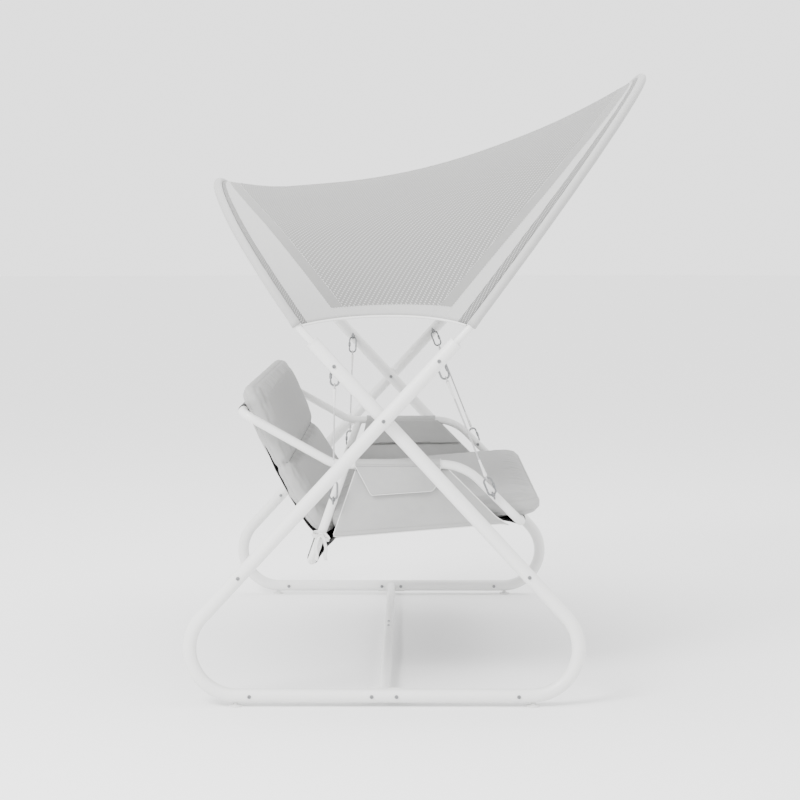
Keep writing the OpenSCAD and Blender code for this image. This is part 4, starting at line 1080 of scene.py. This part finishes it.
class Cushion:
    """A padded cushion: a mid-line in the side view, a thickness and a half width."""

    def __init__(self, name, mid_line, thick, half, corner):
        self.name = name
        self.line = even(np.array(mid_line), 60)
        self.thick = thick
        self.half = half
        self.corner = corner
        self.run = run_along(self.line)
        self.length = self.run[-1]
        way = np.gradient(self.line, axis=0)
        self.way = way / np.linalg.norm(way, axis=1)[:, None]

    def at(self, run):
        """Point and direction of the mid-line at that length along it."""
        run = min(max(run, 0), self.length)
        return on_line(self.line, self.run, run), unit(on_line(self.way, self.run, run))

    def inset(self, run, y):
        """How far in from the cushion's outline each point is, seen from above."""
        lx, ly, cut = self.length / 2, self.half, self.corner
        dx, dy = np.abs(run - lx) - (lx - cut), np.abs(y) - (ly - cut)
        return np.where((dx > 0) & (dy > 0), cut - np.hypot(dx, dy), cut - np.maximum(dx, dy))

    def height(self, run, y):
        """Half thickness there: full in the middle and round at the outline."""
        share = clamp(float(self.inset(run, y)) / (self.thick / 2))
        bulge = 2.3
        return self.thick / 2 * max(1 - (1 - share) ** bulge, 0) ** (1 / bulge)

    def outline(self, a, b):
        """A point inside the cushion's plan for a and b from -1 to 1, with round corners."""
        lx, ly, cut = self.length / 2, self.half, self.corner
        x, y = a * lx, b * ly
        dx, dy = abs(x) - (lx - cut), abs(y) - (ly - cut)
        if dx > 0 and dy > 0:
            far = math.hypot(dx, dy)
            edge = max(dx, dy)
            x = math.copysign(lx - cut + dx * edge / far, x)
            y = math.copysign(ly - cut + dy * edge / far, y)
        return x + lx, y

    def start_mesh(self):
        """The closed shape before it is blown up."""
        na, nb = START_CUTS
        verts, faces = [], []
        along, across = (np.sin(np.linspace(-math.pi / 2, math.pi / 2, n)) for n in START_CUTS)
        for sign in (1, -1):
            for a in along:
                for b in across:
                    run, y = self.outline(a, b)
                    p, d = self.at(run)
                    h = sign * self.height(run, y) * START_SHARE
                    verts.append((p[0] - d[1] * h, y, p[1] + d[0] * h))
        for layer in (0, 1):
            for i in range(na - 1):
                for j in range(nb - 1):
                    k = layer * na * nb + i * nb + j
                    quad = (k, k + 1, k + nb + 1, k + nb)
                    faces.append(quad if layer == 0 else quad[::-1])
        mesh = bpy.data.meshes.new(self.name)
        mesh.from_pydata(verts, [], faces)
        joined = bmesh.new()
        joined.from_mesh(mesh)
        bmesh.ops.remove_doubles(joined, verts=joined.verts, dist=0.4 * MM)
        bmesh.ops.recalc_face_normals(joined, faces=joined.faces)
        joined.to_mesh(mesh)
        joined.free()
        return mesh


def points_of(mesh):
    return read(mesh.vertices, "co", 3)


def set_points(mesh, p):
    mesh.vertices.foreach_set("co", np.asarray(p, float).ravel())
    mesh.update()


def taken(obj):
    """The mesh that the object's modifiers make of it. The modifiers are removed."""
    bpy.context.view_layer.update()
    seen = obj.evaluated_get(bpy.context.evaluated_depsgraph_get())
    mesh = bpy.data.meshes.new_from_object(seen)
    obj.modifiers.clear()
    return mesh


def modify(obj, kind, **settings):
    """Replaces the object's mesh by what one modifier makes of it."""
    modifier = obj.modifiers.new(kind, kind)
    for key, value in settings.items():
        setattr(modifier, key, value)
    obj.data = taken(obj)


def locate(c, p):
    """Length along the mid-line and height off it, for each point."""
    flat = p[:, [0, 2]]
    best = np.full(len(p), 1e9)
    run, height = np.zeros(len(p)), np.zeros(len(p))
    for k in range(len(c.line) - 1):
        a, b = c.line[k], c.line[k + 1]
        d = b - a
        length = np.linalg.norm(d)
        t = ((flat - a) @ d) / length ** 2
        t = np.clip(t, -9 if k == 0 else 0, 9 if k == len(c.line) - 2 else 1)
        off = flat - (a + t[:, None] * d)
        far = np.linalg.norm(off, axis=1)
        near = far < best
        best[near] = far[near]
        run[near] = (c.run[k] + t * length)[near]
        height[near] = (off @ np.array([-d[1], d[0]]) / length)[near]
    return run, height


def blow_up(obj, pinned):
    """Cloth under inner pressure, held at its sewn seams. No point moves beyond MOST_MOVE."""
    rest = points_of(obj.data)
    group = obj.vertex_groups.new(name="sewn")
    for i in np.nonzero(pinned)[0]:
        group.add([int(i)], 1.0, "REPLACE")
    m = obj.modifiers.new("fill", "CLOTH")
    m.settings.use_pressure = True
    m.settings.uniform_pressure_force = PRESSURE
    m.settings.effector_weights.gravity = 0
    m.settings.vertex_group_mass = "sewn"
    m.settings.quality = 4
    m.settings.mass = 0.3
    m.settings.shrink_min = -0.035
    m.settings.bending_stiffness = 0.4
    m.point_cache.frame_start = 1
    m.point_cache.frame_end = FRAMES
    for f in range(1, FRAMES + 1):
        bpy.context.scene.frame_set(f)
    move = points_of(taken(obj)) - rest
    bpy.context.scene.frame_set(1)
    far = np.linalg.norm(move, axis=1)
    keep = np.minimum(1, MOST_MOVE / np.maximum(far, 1e-9))
    set_points(obj.data, rest + move * keep[:, None])
    obj.vertex_groups.clear()


def sew(obj, c, channels):
    """Presses the sewn channels and the seam beside the gusset into the filled cushion."""
    p = points_of(obj.data)
    n = read(obj.data.vertices, "normal", 3)
    run, height = locate(c, p)
    depth = np.zeros(len(p))
    face = np.where(height > 0, 1.0, BACK_SHARE)
    for at in channels:
        pucker = 1 + 0.35 * np.sin(p[:, 1] * 2 * math.pi / 0.031) * np.sin(p[:, 1] * 23)
        depth += CHANNEL_DEPTH * np.exp(-((run - at) / CHANNEL_WIDTH) ** 2) * pucker * face
        depth += DISH_DEPTH * np.exp(-((run - at) / DISH_WIDTH) ** 2) * face
    inset = c.inset(run, p[:, 1])
    flat = np.abs(height) > 0.2 * c.thick
    seam = np.exp(-((inset - SEAM_IN) / SEAM_WIDTH) ** 2) * flat
    depth += SEAM_DEPTH * seam * (1 + 0.5 * np.sin((p[:, 1] + run) * 2 * math.pi / 0.043))
    set_points(obj.data, p - n * depth[:, None])


def box_uv(mesh, c):
    """UVs in metres: across and along the cushion, or along and up on its sides."""
    p = points_of(mesh)
    run, height = locate(c, p)
    sideways = np.abs(read(mesh.polygons, "normal", 3)[:, 1]) > 0.7
    side = np.repeat(sideways, read(mesh.polygons, "loop_total", kind=int))
    loops = read(mesh.loops, "vertex_index", kind=int)
    u = np.where(side, run[loops], p[loops, 1])
    v = np.where(side, height[loops], run[loops])
    map_uvs(mesh, np.stack([u, v], 1))


def on_surface(tree, c, run, y, sign):
    """Where the cushion's surface is, over or under the mid-line."""
    p, d = c.at(run)
    way = np.array([-d[1], 0, d[0]]) * sign
    start = np.array([p[0], y, p[1]]) + way * RAY_FROM
    hit = tree.ray_cast(Vector(start), Vector(-way))[0]
    return None if hit is None else np.array(hit) + way * THREAD_LIFT


def seam_line(tree, c, sign):
    """The gusset seam on one face, just inside the cushion's rounded outline."""
    lx, ly = c.length / 2 - SEAM_IN, c.half - SEAM_IN
    cut = max(c.corner - SEAM_IN, 5 * MM)
    plan = np.concatenate([arc((x * (lx - cut), y * (ly - cut)), cut, start, start + 90, 8)
                           for x, y, start in ((1, 1, 0), (-1, 1, 90), (-1, -1, 180),
                                               (1, -1, 270))])
    plan = even(np.concatenate([plan, plan[:1]]), 420)
    spots = [on_surface(tree, c, x + c.length / 2, y, sign) for x, y in plan]
    return [s for s in spots if s is not None]


def build_cushion(c, node, channels):
    """Fills a cushion, sews its channels and edges, and puts it on the seat."""
    obj = link(bpy.data.objects.new(c.name, c.start_mesh()))
    modify(obj, "REMESH", mode="VOXEL", voxel_size=VOXEL)
    modify(obj, "SMOOTH", iterations=4, factor=0.5)
    p = points_of(obj.data)
    run, height = locate(c, p)
    inset = c.inset(run, p[:, 1])
    pinned = (np.abs(inset - SEAM_IN) < 0.6 * VOXEL) & (np.abs(height) > 0.2 * c.thick)
    for at in channels:
        pinned |= np.abs(run - at) < 0.55 * VOXEL
    blow_up(obj, pinned)
    modify(obj, "SUBSURF", levels=1)
    sew(obj, c, channels)
    modify(obj, "SMOOTH", iterations=1, factor=0.4)
    box_uv(obj.data, c)
    obj.data.materials.clear()
    obj.data.materials.append(PAINTS["grey_fabric"])
    obj.data.polygons.foreach_set("use_smooth", [True] * len(obj.data.polygons))
    dress(obj, node)
    tree = BVHTree.FromPolygons([v.co for v in obj.data.vertices],
                                [tuple(f.vertices) for f in obj.data.polygons])
    for k, at in enumerate(channels):
        reach = c.half - 14 * MM
        line = [on_surface(tree, c, at, y, 1) for y in np.linspace(-reach, reach, 260)]
        # Near-black, almost unbroken thread along the channel: real stitches, painted as the
        # shadow in the sewn crease.
        dress(stitches(f"{c.name}_channel_{k + 1}", [q for q in line if q is not None],
                       PAINTED_SHADOW_THREAD, 6 * MM, 1.5 * MM, 0.9 * MM))
    for face, sign in (("front", 1), ("back", -1)):
        dress(stitches(f"{c.name}_seam_{face}", seam_line(tree, c, sign), THREAD,
                       5 * MM, 3 * MM, 0.45 * MM))


def build_cushions():
    """The back cushion, sewn across at its knee, and the flat seat cushion."""
    back_mid = [base_point(x, z) for x, z in ((-390, 862), (-287, 639), (-211, 507), (-152, 447))]
    back = Cushion("back_cushion_cover", smooth_line(back_mid, 80), 58 * MM, CUSHION_HALF,
                   45 * MM)
    knee = np.argmin(np.linalg.norm(back.line - base_point(-287, 639), axis=1))
    build_cushion(back, "back_cushion", [back.run[knee]])
    seat_mid = [base_point(-160, 470), base_point(150, 498.5), base_point(444, 525)]
    seat = Cushion("seat_cushion_cover", seat_mid, 54 * MM, CUSHION_HALF, 60 * MM)
    build_cushion(seat, "seat_cushion", [])


# ---------------------------------------------------------------- welds

WELD_R = 1.6 * MM


def side_tube_weld(side, sign):
    """A rippled bead where a side tube's top meets the armrest tube above it."""
    down = unit([SIDE_FOOT[0] - SIDE_TOP[0], 0, SIDE_FOOT[1] - SIDE_TOP[1]])
    across = np.array([down[2], 0, -down[0]])
    centre = np.array([SIDE_TOP[0], sign * SIDE_Y, SIDE_TOP[1]])
    path = []
    for w in turn(60):
        ring = across * math.cos(w) * SEAT_TUBE_R + np.array([0, math.sin(w) * SEAT_TUBE_R, 0])
        # slide down the side tube until the point is on the armrest tube's surface
        fall = -math.sqrt(max(SEAT_TUBE_R ** 2 - ring[1] ** 2, 0))
        path.append(centre + ring + down * ((fall - ring[2]) / down[2]))
    p = even(np.array(path + path[:1]), 90)[:-1]
    ripple = WELD_R * (1 + 0.18 * np.sin(np.arange(len(p)) * 2.1))
    place(sweep("weld_side_tube_" + side, p, ripple, PAINTS["white_powder_coat"], 8,
                closed=True), "seat", "white_powder_coat")


# ---------------------------------------------------------------- floor, light and camera

FLOOR_Z = -0.5 * MM
SKY_STRENGTH = 2.3
LIT_AT = (0, 0, 0.8)                         # where both lights point
CAMERA_AT = (BASE_X + 0.0829, -6.1951, 1.2835)
CAMERA_TURN = (-0.4152, 4.7268, -0.0592)     # yaw to the right, pitch down and roll, degrees
CAMERA_LENS = 88.94


def build_floor():
    """A wide, plain, pale disc."""
    rings, sides = np.geomspace(0.5, 60, 16), 64
    verts = [(r * math.cos(w), r * math.sin(w), FLOOR_Z) for r in rings for w in turn(sides)]
    faces = ring_faces(len(rings), sides, False) + [tuple(range(sides))[::-1]]
    p = Paint("pale_floor", grey(0.93, 0), 0.7)
    p.set("Normal", p.bump(p.noise(30.0), 0.0003, 0.3))
    make("studio_floor", verts, faces, p.material)


def area_light(name, at, size, power):
    """A square area light that points at the middle of the swing."""
    light = bpy.data.lights.new(name, "AREA")
    light.size = size
    light.energy = power
    obj = link(bpy.data.objects.new(name, light))
    obj.location = at
    way = Vector(LIT_AT) - Vector(at)
    obj.rotation_euler = way.to_track_quat("-Z", "Y").to_euler()


def build_light():
    """An evenly white room with a soft key light and a softer one overhead."""
    world = bpy.data.worlds.new("soft_white")
    bpy.context.scene.world = world
    world.use_nodes = True
    sky = world.node_tree.nodes["Background"]
    sky.inputs["Color"].default_value = (1, 1, 1, 1)
    sky.inputs["Strength"].default_value = SKY_STRENGTH
    area_light("key_light", (-3.2, -4.2, 4.6), 2.2, 520)
    area_light("top_light", (0.4, 0.6, 5.0), 4.0, 160)


def build_camera():
    """The camera, where the photograph was taken from."""
    yaw, pitch, roll = (math.radians(x) for x in CAMERA_TURN)
    data = bpy.data.cameras.new("camera")
    data.sensor_width = 36
    data.lens = CAMERA_LENS
    data.clip_end = 200
    ahead = np.array([math.sin(yaw) * math.cos(pitch), math.cos(yaw) * math.cos(pitch),
                      -math.sin(pitch)])
    right = np.array([math.cos(yaw), -math.sin(yaw), 0])
    up = np.cross(right, ahead)
    right, up = (right * math.cos(roll) + up * math.sin(roll),
                 up * math.cos(roll) - right * math.sin(roll))
    obj = link(bpy.data.objects.new("camera", data))
    obj.matrix_world = Matrix([[right[k], up[k], -ahead[k], CAMERA_AT[k]] for k in range(3)]
                              + [[0, 0, 0, 1]])
    bpy.context.scene.camera = obj


build_camera()
build_light()
build_floor()
for corner in ("rear_right", "rear_left", "front_right", "front_left"):
    build_rope(corner)
    for level in ("upper", "lower"):
        build_grip(f"{level}_gate_{corner}", f"gate_{level}_{corner}")
build_sling()
for side_name, way_out in (("right", -1), ("left", 1)):
    build_armrest(side_name, way_out)
    side_tube_weld(side_name, way_out)
for side_name, way_out in (("right", -1), ("left", 1)):
    build_tie(side_name, way_out)
build_canopy()
build_cushions()
